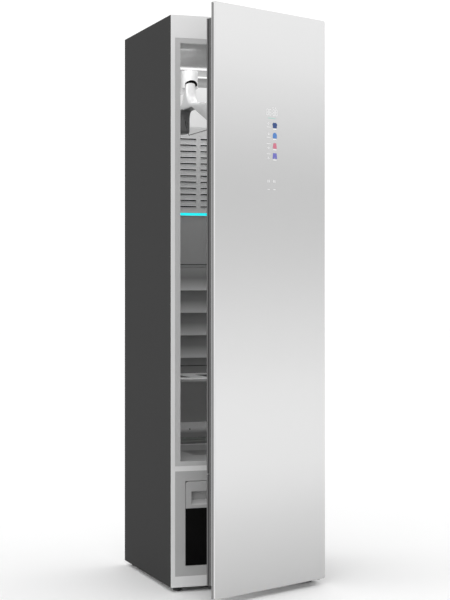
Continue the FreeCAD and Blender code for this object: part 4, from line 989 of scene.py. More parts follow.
@dataclass
class Casing:
    """Outer panels, front frame, rear cover and feet.

    Heights of a foot pad count from the floor, those of its screw from the base pan.

    Attributes:
        pad: Radius of a foot pad.
        pad_foot: Rounding of its foot.
        pad_wall: Top of its upright side.
        pad_top: Top of its shoulder.
        pad_step: How far the shoulder's top is drawn in.
        pad_curve: Radius of the shoulder.
        pad_neck: Radius under the base pan.
        pad_gap: Pad to base pan.
        stem: Radius of a foot screw at the pad.
        crest: Radius of its thread's crests.
        root: Radius of its thread's roots.
        pitch: Distance from crest to crest.
        turns: Crests of a thread.
        screw: Head radius of the rear cover's screws.
        screw_head: Height of a head.
        screw_rim: Height of the rim on a head.
        rim_shares: Outer and inner radius of that rim, as shares of the head's.
        screw_inset: Edge of the rear cover to its screws.
        screw_pitch: Distance from screw to screw.
        screw_round: Rounding of a head.
    """

    pad: float = 0.015
    pad_foot: float = 0.003
    pad_wall: float = 0.008
    pad_top: float = 0.0125
    pad_step: float = 0.0035
    pad_curve: float = 0.006
    pad_neck: float = 0.0095
    pad_gap: float = 0.0006
    stem: float = 0.0048
    crest: float = 0.0049
    root: float = 0.0043
    pitch: float = 0.002
    turns: int = 13
    screw: float = 0.0038
    screw_head: float = 0.0011
    screw_rim: float = 0.0016
    rim_shares: tuple[float, float] = (0.8, 0.45)
    screw_inset: float = 0.018
    screw_pitch: float = 0.29
    screw_round: float = 0.0003

    def build(self) -> None:
        """Dress the panels and make the feet and the rear screws."""
        dress_all({
            SIDE_PAINT: ("side_panel_left", "side_panel_right", "top_panel"),
            FRAME_PAINT: ("front_flange_left", "front_flange_right", "header_panel",
                          "middle_rail", "bottom_rail"),
            ZINC_STEEL: ("rear_panel", "base_pan", "deck_plate", "tank_tray"),
            FOOT_BLACK: ("power_inlet_gland",),
            FOAM: ("insulation",),
        })
        self.build_feet()
        self.build_rear_screws()

    def build_feet(self) -> None:
        """Make the four feet: a rounded pad under a zinc screw."""
        low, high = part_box("levelling_feet")
        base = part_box("base_pan")[0].z
        neck = base - self.pad_gap
        pad = [(0.0, 0.0), (self.pad - self.pad_foot, 0.0)]
        pad += arc_points(pad[-1], (self.pad, self.pad_foot), self.pad_foot, 5)
        pad += [(self.pad, self.pad_wall)]
        pad += arc_points(pad[-1], (self.pad - self.pad_step, self.pad_top), self.pad_curve, 5)
        pad += [(self.pad_neck, neck), (0.0, neck)]
        stem = [(0.0, neck), (self.stem, neck)]
        for turn in range(self.turns):
            level = base + self.pitch * turn
            stem += [(self.crest, level), (self.root, level + self.pitch / 2)]
        stem += [(0.0, base + self.pitch * self.turns)]
        pads = []
        for x in (low.x + self.pad, high.x - self.pad):
            for y in (low.y + self.pad, high.y - self.pad):
                label = f"{'left' if x < 0 else 'right'}_{'front' if y < 0 else 'rear'}"
                pads.append(make_piece(f"foot_pad_{label}", Shape().lathe((x, y), pad),
                                       FOOT_BLACK, "cabinet"))
                make_piece(f"foot_screw_{label}", Shape().lathe((x, y), stem, 24),
                           ZINC_STEEL, "cabinet")
        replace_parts(pads[0], "levelling_feet")

    def build_rear_screws(self) -> None:
        """Make the screws along the rear cover's two upright edges."""
        low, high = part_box("rear_panel")
        face, span = high.y, high.z - low.z - 2 * self.screw_inset
        count = int(span / self.screw_pitch)
        shape = Shape()
        for x in (low.x + self.screw_inset, high.x - self.screw_inset):
            for step in range(count + 1):
                z = low.z + self.screw_inset + step * span / count
                head, outer, inner = (disc_outline(x, z, self.screw * share, 20)
                                      for share in (1.0, *self.rim_shares))
                shape.prism(Axis.Y, face, face + self.screw_head, head)
                shape.frame(Axis.Y, face, face + self.screw_rim, outer, inner)
        make_piece("rear_screws", shape, ZINC_STEEL, "cabinet", self.screw_round)


@dataclass
class Chamber:
    """Lit treatment space: trim, walls, vented and scalloped back, shelf and filter.

    Levels count down from the top of the cabinet.

    Attributes:
        cove_top: Top of the cove under the light ledge.
        crease: Foot of the cove, where the lit panel starts.
        panel_foot: Foot of the lit panel.
        panel_rise: How far the lit panel stands out.
        panel_slope: Height of the slope at its foot.
        cove_depth: How far the cove's top stands out.
        cove_radius: Curve of the cove.
        bezel: Height of the rails along the light strip.
        shingles: Number of shingles.
        shingle_pitch: Distance from shingle to shingle.
        shingle_low: Lowest shingle edge.
        shade: Share of the colour in the shadow under a shingle.
        below: Share of the colour away from the shingles, a painted shade.
        turn: Share of a shingle, from its foot, that catches the light.
        step: Height of the change at a shingle's foot.
        shadow_lines: The two dark strips of painted shadow, from the top of the cabinet.
        shadow_line_rises: How far each strip stands out from the upper wall.
        shadow_line_height: Height of a strip.
        band_rise: Thickness of the thin skins: band, faces, shade sheets and nozzle.
        ledge_top: Top of the ledge.
        ledge_height: Height of the ledge's face.
        rim: Height of the shelf's light rim.
        well: Width of a cut-out of the shelf.
        bridge: Bridge between two cut-outs.
        well_front: Front rail of the shelf.
        well_rear: Rear rail of the shelf.
        shade_drop: Depth of the dark sheet of painted shade in a cut-out.
        nozzle: Radius of the outlet's nozzle.
        nozzle_place: The nozzle's place: across, and below the hood's top.
        sill: Height of a sill.
        sills: Foot of each sill, over the floor.
        slots: Slots in a column.
        slot_pitch: Distance from slot to slot.
        slot_height: Clear height of a slot.
        slot_length: Length of a slot.
        column_gap: Distance between the two columns.
        slot_top: Centre of the top slot.
        lip: Height of the white lip over a slot, a painted highlight.
        lip_rise: How far that lip stands out.
        lip_nose: Foot and top of its front, as shares of its height.
        lower_lip: Reach of the lip under a slot.
        lower_nose: Top and foot of its front and foot of its root, as shares of the lip's height.
        shade_depth: Vent panel's rear to the front of the black sheets that paint the shade in the
            slots.
        hair: Least step or gap between pieces that meet.
        sink: How far the shadow strips reach into the wall.
        sill_rise: How far the sills stand out, and how far they reach in.
        band_over: How far the band under the lamp reaches behind it.
    """

    cove_top: float = 0.1308
    crease: float = 0.163
    panel_foot: float = 0.304
    panel_rise: float = 0.003
    panel_slope: float = 0.010
    cove_depth: float = 0.0078
    cove_radius: float = 0.045
    bezel: float = 0.0012
    shingles: int = 4
    shingle_pitch: float = 0.0795
    shingle_low: float = 1.121
    shade: float = 0.40
    below: float = 0.66
    turn: float = 0.55
    step: float = 0.001
    shadow_lines: tuple[float, float] = (0.7900, 1.1480)
    shadow_line_rises: tuple[float, float] = (0.0052, 0.0012)
    shadow_line_height: float = 0.0032
    band_rise: float = 0.0005
    ledge_top: float = 0.1250
    ledge_height: float = 0.0046
    rim: float = 0.004
    well: float = 0.104
    bridge: float = 0.056
    well_front: float = 0.045
    well_rear: float = 0.077
    shade_drop: float = 0.0012
    nozzle: float = 0.0024
    nozzle_place: tuple[float, float] = (-0.047, 0.020)
    sill: float = 0.0028
    sills: tuple[float, float] = (0.4200, 0.4440)
    slots: int = 12
    slot_pitch: float = 0.02175
    slot_height: float = 0.0044
    slot_length: float = 0.150
    column_gap: float = 0.0166
    slot_top: float = 0.3465
    lip: float = 0.0014
    lip_rise: float = 0.0012
    lip_nose: tuple[float, float] = (0.2, 0.8)
    lower_lip: float = 0.0033
    lower_nose: tuple[float, float, float] = (0.4, 0.7, 1.2)
    shade_depth: float = 0.0012
    hair: float = 0.0002
    sink: float = 0.001
    sill_rise: float = 0.002
    band_over: float = 0.002

    def __post_init__(self) -> None:
        """Take the cabinet's top and the chamber's walls from the solids."""
        self.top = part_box("side_panel_left")[1].z
        self.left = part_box("chamber_wall_left")[1].x
        self.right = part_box("chamber_wall_right")[0].x
        self.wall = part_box("ceiling_lamp")[1].y

    def build(self) -> None:
        """Dress the chamber's nodes and make its small pieces."""
        dress_all({
            CHAMBER_PLASTIC: ("chamber_wall_left", "chamber_wall_right"),
            VENT_PLASTIC: ("vent_panel",), self.painted_shade_shingle_finish(): ("scalloped_panel",),
            FLOOR_PAINTED_GLOW: ("chamber_floor",), HOOD_PAINTED_LIGHT: ("steam_outlet_hood",),
            SHELF_PAINTED_GLOW: ("shelf",), CEILING_GREY: ("chamber_ceiling",),
            TRIM_PLASTIC: ("opening_trim",), LAMP_WHITE: ("ceiling_lamp",),
            CYAN_LIGHT: ("light_strip",), FILTER_GREY: ("lint_filter",),
        })
        self.build_ledge()
        self.build_lit_panel()
        self.build_trim()
        self.build_slots()
        self.build_shelf()
        self.build_outlet()

    def across(self, name: str, finish: Finish, *outlines: Outline) -> None:
        """Make a piece that runs from side wall to side wall.

        Args:
            name: Name of the object.
            finish: Its finish.
            outlines: Its outlines in Y and Z.
        """
        shape = Shape()
        for outline in outlines:
            shape.prism(Axis.X, self.left, self.right, outline)
        make_piece(name, shape, finish, "cabinet")

    def build_lit_panel(self) -> None:
        """Make the smooth panel over the slots, which glows as painted light, with the cove above
        it, which carries a painted shadow.
        """
        crease, foot = self.top - self.crease, self.top - self.panel_foot
        face, rim = self.wall - self.panel_rise, self.top - self.cove_top
        # The panel glows: painted light.
        self.across("lit_panel", PANEL_PAINTED_GLOW, [
            (self.wall, crease), (face, crease), (face, foot + self.panel_slope),
            (self.wall, foot)])
        edge = crease + self.hair
        cove = [(self.wall, rim), (self.wall - self.cove_depth, rim)]
        cove += arc_points(cove[-1], (face, edge), self.cove_radius, 10)
        # The cove carries a painted shadow under the ledge.
        self.across("cove", COVE_PAINTED_SHADOW, cove + [(self.wall, edge)])

    def build_trim(self) -> None:
        """Make the rails of the light strip and the dark strips of painted shadow over and under
        the shingles.
        """
        low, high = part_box("light_strip")
        self.across("light_strip_rails", CHAMBER_PLASTIC, *(
            box_outline(low.y - self.hair, self.wall, foot, foot + self.bezel)
            for foot in (low.z - self.bezel, high.z)))
        # Dark strips along the shingles: painted shadow.
        self.across("shingle_shadow_lines", CHARCOAL, *(
            box_outline(self.wall + self.sink, self.wall - rise,
                        self.top - fall - self.shadow_line_height, self.top - fall)
            for fall, rise in zip(self.shadow_lines, self.shadow_line_rises)))

    def painted_shade_shingle_finish(self) -> Finish:
        """The wavy panel's finish, with painted shadow under each shingle and painted light
        towards its foot.

        Returns:
            The finish.
        """
        low_line = self.top - self.shadow_lines[-1]
        stops = [(low_line - self.shingle_pitch, self.below), (low_line, self.shade)]
        for index in range(self.shingles):
            foot = self.top - self.shingle_low + index * self.shingle_pitch
            stops += [(foot - self.step, self.shade), (foot, 1.0),
                      (foot + self.shingle_pitch * self.turn, self.shade)]
        stops += [(foot + self.shingle_pitch, self.below)]
        return replace(SHINGLE_PLASTIC, rise=tuple(stops))

    def build_shelf(self) -> None:
        """Make the shelf's darker front face, and dark sheets in its cut-outs that paint the shade
        under the shelf.
        """
        low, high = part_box("shelf")
        make_piece("shelf_face", Shape().prism(Axis.X, low.x, high.x, box_outline(
            low.y - self.band_rise, low.y, low.z, high.z - self.rim)), COVER_GREY, "shelf")
        # Dark sheets in the cut-outs: painted shade under the shelf.
        well_shade = Shape()
        for index in (-1, 0, 1):
            middle = index * (self.well + self.bridge)
            well_shade.prism(Axis.Z, high.z - self.shade_drop - self.band_rise,
                          high.z - self.shade_drop, box_outline(
                              middle - self.well / 2, middle + self.well / 2,
                              low.y + self.well_front, high.y - self.well_rear))
        make_piece("shelf_well_shade", well_shade, CHARCOAL, "shelf")

    def build_outlet(self) -> None:
        """Make the outlet's nozzle and the light sills on the wall below it."""
        low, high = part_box("steam_outlet_hood")
        make_piece("outlet_nozzle", Shape().prism(
            Axis.Y, low.y - self.band_rise, low.y, disc_outline(
                self.nozzle_place[0], high.z - self.nozzle_place[1], self.nozzle)),
            SHADE_BLACK, "cabinet")
        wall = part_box("scalloped_panel")[0].y
        self.across("outlet_sills", SHELF_PAINTED_GLOW, *(
            box_outline(wall - self.sill_rise, wall + self.sill_rise, level, level + self.sill)
            for level in self.sills))

    def build_ledge(self) -> None:
        """Make the grey band under the lamp and the white face of the ledge below it, a painted
        highlight.
        """
        low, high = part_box("vent_panel")
        ledge, front = self.top - self.ledge_top, self.wall - self.cove_depth
        make_piece("lamp_band", Shape().prism(Axis.X, low.x, high.x, box_outline(
            self.wall - self.band_rise, self.wall, ledge,
            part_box("ceiling_lamp")[0].z + self.band_over)), BAND_GREY, "cabinet")
        # The ledge face is a painted highlight.
        make_piece("ledge_face", Shape().prism(Axis.X, low.x, high.x, box_outline(
            front - self.band_rise, front, ledge - self.ledge_height, ledge)),
            LIP_PAINTED_HIGHLIGHT, "cabinet")

    def build_slots(self) -> None:
        """Make the white lips over and under the slots, painted highlights, and black sheets
        behind them, painted shade in the slots.
        """
        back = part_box("vent_panel")[1].y
        wall, lip, over, under = self.wall, self.lip, self.lip_nose, self.lower_nose
        upper_front, lower_front = wall - self.lip_rise, wall - self.lower_lip
        lips, slot_shade = Shape(), Shape()
        for side in (-1, 1):
            near = side * self.column_gap / 2
            x0, x1 = sorted((near, near + side * self.slot_length))
            for index in range(self.slots):
                centre = self.top - self.slot_top - index * self.slot_pitch
                upper, lower = centre + self.slot_height / 2, centre - self.slot_height / 2
                lips.prism(Axis.X, x0, x1, [
                    (wall, upper), (wall, upper + lip),
                    (upper_front, upper + lip * over[1]), (upper_front, upper + lip * over[0])])
                lips.prism(Axis.X, x0, x1, [
                    (wall, lower), (lower_front, lower - lip * under[0]),
                    (lower_front, lower - lip * under[1]), (wall, lower - lip * under[2])])
                # Black sheet behind the slot: painted shade.
                slot_shade.prism(Axis.X, x0, x1, box_outline(
                    back - self.shade_depth, back - self.hair, lower, upper))
        make_piece("vent_lips", lips, LIP_PAINTED_HIGHLIGHT, "cabinet")
        make_piece("vent_slot_shade", slot_shade, SHADE_BLACK, "cabinet")


@dataclass
class Hangers:
    """Air arms, the two hangers with their trouser arms, and the trouser bars.

    A hanger's own levels count from its pivot, and its own distances from its neck.

    Attributes:
        crown: Top of the neck.
        crown_gap: How far the dressed neck stays under it.
        neck: Half of the neck, front to rear.
        straight: Where the neck starts to widen.
        shoulder: Level of the shoulders.
        curve: Radius of the curve from neck to shoulder.
        fall: Fall of the shoulders towards the tips.
        tip_round: Rounding of the tips.
        heel: Rounding under the tips.
        apex: Middle of the underside.
        apex_front: Neck to where the underside starts to fall in front.
        apex_rear: Neck to where the underside starts to fall at the rear.
        rim: How the sides of a shell curve in.
        flare: Curve of a trouser arm from its front up to its top.
        cap: Part of a trouser arm inside its hanger.
        collar: Thickness of the arm's collar under its hanger.
        collar_inset: Width that the collar stays inside the arm.
        collar_front: Neck to the collar's front.
        collar_rear: Neck to the collar's rear.
        arm_heel: Slope of a trouser arm's rear edge.
        arm_round: Rounding of a trouser arm's front corners.
        arm_foot: Rounding of a trouser arm's foot.
        arm_inset: How far its underside is drawn in at the sides.
        slot_drop: Middle of the slot in a trouser arm.
        slot_height: Height of that slot.
        slot_width: Width of that slot.
        slot_shift: Middle of that slot, to the right of the arm's own.
        slot_lean: How far that slot leans out at each end.
        slot_rise: How far the slot's black sheet of painted shade stands out.
        slot_sink: How far that sheet reaches in.
        wire: Radius of the trouser bars.
        bend: Bends of the trouser bars.
        eye_drop: Level where a trouser bar enters its arm.
        leg_foot: Neck to the foot of a trouser bar's leg.
        socket_radius: Rounding of an air arm's nose.
        socket_half: Half of the socket's width.
        socket_foot: Foot of the black sheet that paints the shade in the socket.
        socket_spring: Height where the socket's arch starts.
        socket_rise: Rise of the arch.
        socket_bow: Radius of the arch.
        socket_depth: Socket behind the pivot.
    """

    crown: float = 0.0045
    crown_gap: float = 0.0022
    neck: float = 0.017
    straight: float = -0.019
    shoulder: float = -0.067
    curve: float = 0.048
    fall: float = 0.018
    tip_round: float = 0.016
    heel: float = 0.006
    apex: float = -0.086
    apex_front: float = 0.072
    apex_rear: float = 0.112
    rim: RoundOff = RoundOff(depth=0.015, inset=0.003, crown=0.006)
    flare: float = 0.027
    cap: float = 0.004
    collar: float = 0.0008
    collar_inset: float = 0.002
    collar_front: float = 0.062
    collar_rear: float = 0.030
    arm_heel: float = 0.006
    arm_round: float = 0.010
    arm_foot: float = 0.012
    arm_inset: float = 0.003
    slot_drop: float = -0.134
    slot_height: float = 0.030
    slot_width: float = 0.006
    slot_shift: float = 0.004
    slot_lean: float = 0.004
    slot_rise: float = 0.0003
    slot_sink: float = 0.002
    wire: float = 0.0014
    bend: float = 0.006
    eye_drop: float = -0.118
    leg_foot: float = 0.008
    socket_radius: float = 0.0285
    socket_half: float = 0.0211
    socket_foot: float = 0.008
    socket_spring: float = 0.015
    socket_rise: float = 0.0098
    socket_bow: float = 0.0276
    socket_depth: float = 0.023

    def build(self) -> None:
        """Dress the arms and make the rounded hangers."""
        dress("air_arms", HANGER_WHITE_PAINTED_LIGHT)
        dress("hanger_pivots", HANGER_WHITE_PAINTED_LIGHT)
        for side in ("left", "right"):
            self.build_shell(side)
            self.build_clip(side)
            self.build_bar(side)
            self.build_socket(side)

    def pivot(self, side: str) -> Vector:
        """Where one hanger's pivot crosses the middle of its neck.

        Args:
            side: "left" or "right".

        Returns:
            The point.
        """
        low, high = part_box(f"hanger_shell_{side}")
        middle = (low + high) / 2
        return Vector((middle.x, middle.y, high.z - self.crown))

    def build_shell(self, side: str) -> None:
        """Make one hanger: a neck and two drooping arms with rounded rims.

        Args:
            side: "left" or "right".
        """
        low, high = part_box(f"hanger_shell_{side}")
        pivot, reach = self.pivot(side), (high.y - low.y) / 2
        level, tip = self.neck + self.curve, self.shoulder - self.fall
        foot, crown = low.z - pivot.z, self.crown - self.crown_gap
        corners = [
            (-self.neck, crown, None), (-self.neck, self.straight, None),
            (-level, self.shoulder, -self.curve), (self.tip_round - reach, tip, None),
            (-reach, tip - self.tip_round, self.tip_round), (-reach, foot + self.heel, None),
            (self.heel - reach, foot, self.heel), (-self.apex_front, self.apex, None),
            (self.apex_rear, self.apex, None), (reach - self.heel, foot, None),
            (reach, foot + self.heel, self.heel), (reach, tip - self.tip_round, None),
            (reach - self.tip_round, tip, self.tip_round), (level, self.shoulder, None),
            (self.neck, self.straight, -self.curve), (self.neck, crown, None),
        ]
        outline = [(pivot.y + u, pivot.z + v) for u, v in path_outline(corners)]
        shell = make_piece(
            f"hanger_body_{side}",
            Shape().cushion(Axis.X, low.x, high.x, outline, self.rim),
            HANGER_WHITE_PAINTED_LIGHT, f"hanger_{side}")
        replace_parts(shell, f"hanger_shell_{side}")

    def build_clip(self, side: str) -> None:
        """Make one trouser arm: a bowed block with a flared top, a collar, and a black sheet that
        paints the shade in its slot.

        Args:
            side: "left" or "right".
        """
        low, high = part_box(f"trouser_arm_{side}")
        front, rear = low.y + self.flare, high.y - self.arm_heel
        rings = []
        fronts = [(front + self.arm_foot, low.z)]
        fronts += arc_points(fronts[0], (front, low.z + self.arm_foot), -self.arm_foot, 5)
        fronts += [(front, high.z - self.flare)]
        fronts += arc_points(fronts[-1], (low.y, high.z), self.flare, 8)
        for index, (y, z) in enumerate(fronts):
            share = max((z - high.z + self.flare) / self.flare, 0.0)
            inset = 0.0 if index else self.arm_inset
            rings.append([Vector((x, v, z)) for x, v in round_outline(
                low.x + inset, high.x - inset, y, rear + share * self.arm_heel,
                self.arm_round)])
        rings.append([v + Vector((0.0, 0.0, self.cap)) for v in rings[-1]])
        clip = make_piece(f"trouser_block_{side}", Shape().loft(rings), ARM_GREY,
                          f"hanger_{side}")
        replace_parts(clip, f"trouser_arm_{side}")
        pivot = self.pivot(side)
        under = pivot.z + self.apex
        make_piece(f"trouser_collar_{side}", Shape().prism(
            Axis.Z, under - self.collar, under, round_outline(
                low.x + self.collar_inset, high.x - self.collar_inset,
                pivot.y - self.collar_front, pivot.y + self.collar_rear, self.collar_inset)),
            ARM_GREY, f"hanger_{side}")
        x, z = (low.x + high.x) / 2 + self.slot_shift, pivot.z + self.slot_drop
        slot = [(x + u * self.slot_width / 2 - v * self.slot_lean, z + v * self.slot_height / 2)
                for u, v in disc_outline(0.0, 0.0, 1.0)]
        # Black sheet in the slot: painted shade.
        make_piece(f"trouser_slot_{side}", Shape().prism(
            Axis.Y, front - self.slot_rise, front + self.slot_sink, slot),
            SHADE_BLACK, f"hanger_{side}")

    def build_bar(self, side: str) -> None:
        """Make one trouser bar: a wire that drops from its arm and runs forward.

        Args:
            side: "left" or "right".
        """
        low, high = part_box(f"trouser_bar_{side}")
        pivot = self.pivot(side)
        bottom = low.z + self.wire
        eye = Vector((pivot.x, high.y - self.wire, pivot.z + self.eye_drop))
        foot = Vector((pivot.x, pivot.y + self.leg_foot, bottom))
        end = Vector((pivot.x, low.y + self.wire, bottom))
        bar = make_piece(f"trouser_wire_{side}", Shape().tube(
            bent_path([eye, foot, end], self.bend), self.wire), BAR_PAINTED_REFLECTION, f"hanger_{side}")
        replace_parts(bar, f"trouser_bar_{side}")

    def build_socket(self, side: str) -> None:
        """Line the arched socket of one air arm with a black sheet, painted shade inside it.

        Args:
            side: "left" or "right".
        """
        pivot = self.pivot(side)
        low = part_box("air_arms")[0].z
        crest = (0.0, self.socket_spring + self.socket_rise)
        arch = [(self.socket_half, self.socket_foot), (self.socket_half, self.socket_spring)]
        arch += arc_points(arch[-1], crest, self.socket_bow, 8)
        arch += arc_points(crest, (-self.socket_half, self.socket_spring), self.socket_bow, 8)
        arch += [(-self.socket_half, self.socket_foot)]
        front = [Vector((pivot.x + u, pivot.y - math.sqrt(self.socket_radius ** 2 - u ** 2),
                         low + v)) for u, v in arch]
        rear = [Vector((pivot.x + u, pivot.y + self.socket_depth, low + v)) for u, v in arch]
        shape = Shape()
        shape.skin([front, rear], around=False, along=False)
        shape.faces.append(tuple(range(len(arch), 2 * len(arch))))
        # Black sheet in the socket: painted shade.
        make_piece(f"socket_liner_{side}", shape, SHADE_BLACK, "cabinet")


@dataclass
class Door:
    """Glass door with its trim, liner, gaskets, hinges and display.

    Attributes:
        corner: Corner radius of the glass.
        ground_edge: Width of the ground edge on the glass face.
        ground_depth: Depth of the ground edge at the rim.
        ground_rise: Its depth where it meets the face.
        side_film: Thickness of the dull band on the pane's free side.
        seat_rise: Half the thickness of the gasket's seat.
        seat_depth: Width of the gasket's seat.
        print_depth: Thickness of the printed signs.
    """

    corner: float = 0.005
    ground_edge: float = 0.0055
    ground_depth: float = 0.0006
    ground_rise: float = 0.0001
    side_film: float = 0.0001
    seat_rise: float = 0.0004
    seat_depth: float = 0.0026
    print_depth: float = 0.00025

    def __post_init__(self) -> None:
        """Work out where the door hangs and how large its pane is."""
        hinge = next(j for j in frame["joints"] if j["name"] == "door_hinge")
        x, y, _ = hinge["pos_m"]
        self.place = Matrix.Translation((x, y, 0)) @ Matrix.Rotation(
            math.radians(-hinge["range_deg"][0]), 4, "Z")
        low, high = self.extent("door_glass")
        self.left, self.front, self.bottom = low
        self.right, self.back, self.top = high

    def extent(self, node: str) -> tuple[Point, Point]:
        """Lowest and highest corner of a CAD node in the door's own axes.

        Args:
            node: Name of the node.

        Returns:
            The two corners.
        """
        inverse = self.place.inverted()
        numbers = list(zip(*(inverse @ v.co for v in frame["nodes"][node].data.vertices)))
        return tuple(min(n) for n in numbers), tuple(max(n) for n in numbers)

    def piece(self, name: str, shape: Shape, finish: Finish) -> bpy.types.Object:
        """A piece modelled in the door's own axes.

        Args:
            name: Name of the object.
            shape: Its faces, in the door's axes.
            finish: Its finish.

        Returns:
            The object.
        """
        return make_piece(name, shape, finish, "door", place=self.place)

    def build(self) -> None:
        """Dress the door's nodes and make the pane and the display."""
        dress_all({
            TRIM_METAL: ("door_trim",), DOOR_LINER: ("door_inner_panel",),
            FOAM: ("door_foam_core",), BOILER_GREY: ("display_module",),
            GASKET_RUBBER: ("gasket_upper", "gasket_lower"),
            ZINC_STEEL: ("hinge_brackets",), WIRE_STEEL: ("hinge_pins",),
            CHARCOAL: ("hinge_bushes",),
        })
        self.build_pane()
        self.build_seat()
        Display(self).build()

    def build_pane(self) -> None:
        """Make the pane, the ground edge of its free side and the dull band on that side."""
        back, round_off = self.front + self.ground_depth, self.corner
        step, rim = self.left + self.ground_edge, self.front + self.ground_rise
        low, high = self.bottom + round_off, self.top - round_off
        shape = Shape().prism(Axis.Y, back, self.back, round_outline(
            self.left + self.side_film, self.right, self.bottom, self.top, round_off))
        shape.prism(Axis.Y, self.front, back, [
            (step, self.bottom),
            *arc_points((self.right - round_off, self.bottom), (self.right, low), -round_off, 6),
            *arc_points((self.right, high), (self.right - round_off, self.top), -round_off, 6),
            (step, self.top)])
        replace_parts(self.piece("glass_pane", shape, DOOR_GLASS), "door_glass")
        self.piece("glass_ground_edge", Shape().prism(Axis.Z, low, high, [
            (self.left, back), (step, back), (step, rim)]), GLASS_EDGE)
        self.piece("glass_side_band", Shape().prism(Axis.Z, low, high, box_outline(
            self.left, self.left + self.side_film, back, self.back)), GLASS_SIDE)

    def build_seat(self) -> None:
        """Make the dark seat of the gasket along the liner's free side."""
        (left, _, low), (_, _, high) = self.extent("door_inner_panel")
        back = self.extent("gasket_upper")[0][1]
        self.piece("gasket_seat", Shape().prism(Axis.Z, low, high, box_outline(
            left - self.seat_rise, left + self.seat_rise, back - self.seat_depth, back)),
            CHARCOAL)


# Lower left and upper right corner of each bar, as shares of a digit's width and height.
SEGMENTS = {
    "top": ((0.15, 0.92), (0.85, 1.0)), "upper_left": ((0.0, 0.54), (0.15, 0.94)),
    "upper_right": ((0.85, 0.54), (1.0, 0.94)), "middle": ((0.15, 0.46), (0.85, 0.54)),
    "lower_left": ((0.0, 0.06), (0.15, 0.46)), "lower_right": ((0.85, 0.06), (1.0, 0.46)),
    "bottom": ((0.15, 0.0), (0.85, 0.08)),
}


class Sign(Enum):
    """Generic garment signs of the programmes."""

    SHIRT = "short sleeved shirt"
    COAT = "long coat"
    DRESS = "dress with a wide hem"
    SHORTS = "shorts"


# Corners of each sign, as shares of its width and height.
SIGN_OUTLINES: dict[Sign, Outline] = {
    Sign.SHIRT: [(0.06, 0.0), (0.94, 0.0), (0.94, 0.50), (1.0, 0.46), (1.0, 0.70), (0.74, 1.0),
                 (0.60, 0.92), (0.40, 0.92), (0.26, 1.0), (0.0, 0.70), (0.0, 0.46), (0.06, 0.50)],
    Sign.COAT: [(0.05, 0.0), (0.95, 0.0), (0.95, 0.55), (0.85, 0.85), (0.62, 1.0), (0.38, 1.0),
                (0.15, 0.85), (0.05, 0.55)],
    Sign.DRESS: [(0.05, 0.0), (0.95, 0.0), (0.86, 0.55), (0.80, 0.92), (0.62, 1.0), (0.50, 0.90),
                 (0.38, 1.0), (0.20, 0.92), (0.14, 0.55)],
    Sign.SHORTS: [(0.0, 0.0), (0.42, 0.0), (0.50, 0.42), (0.58, 0.0), (1.0, 0.0), (0.88, 1.0),
                  (0.12, 1.0)],
}


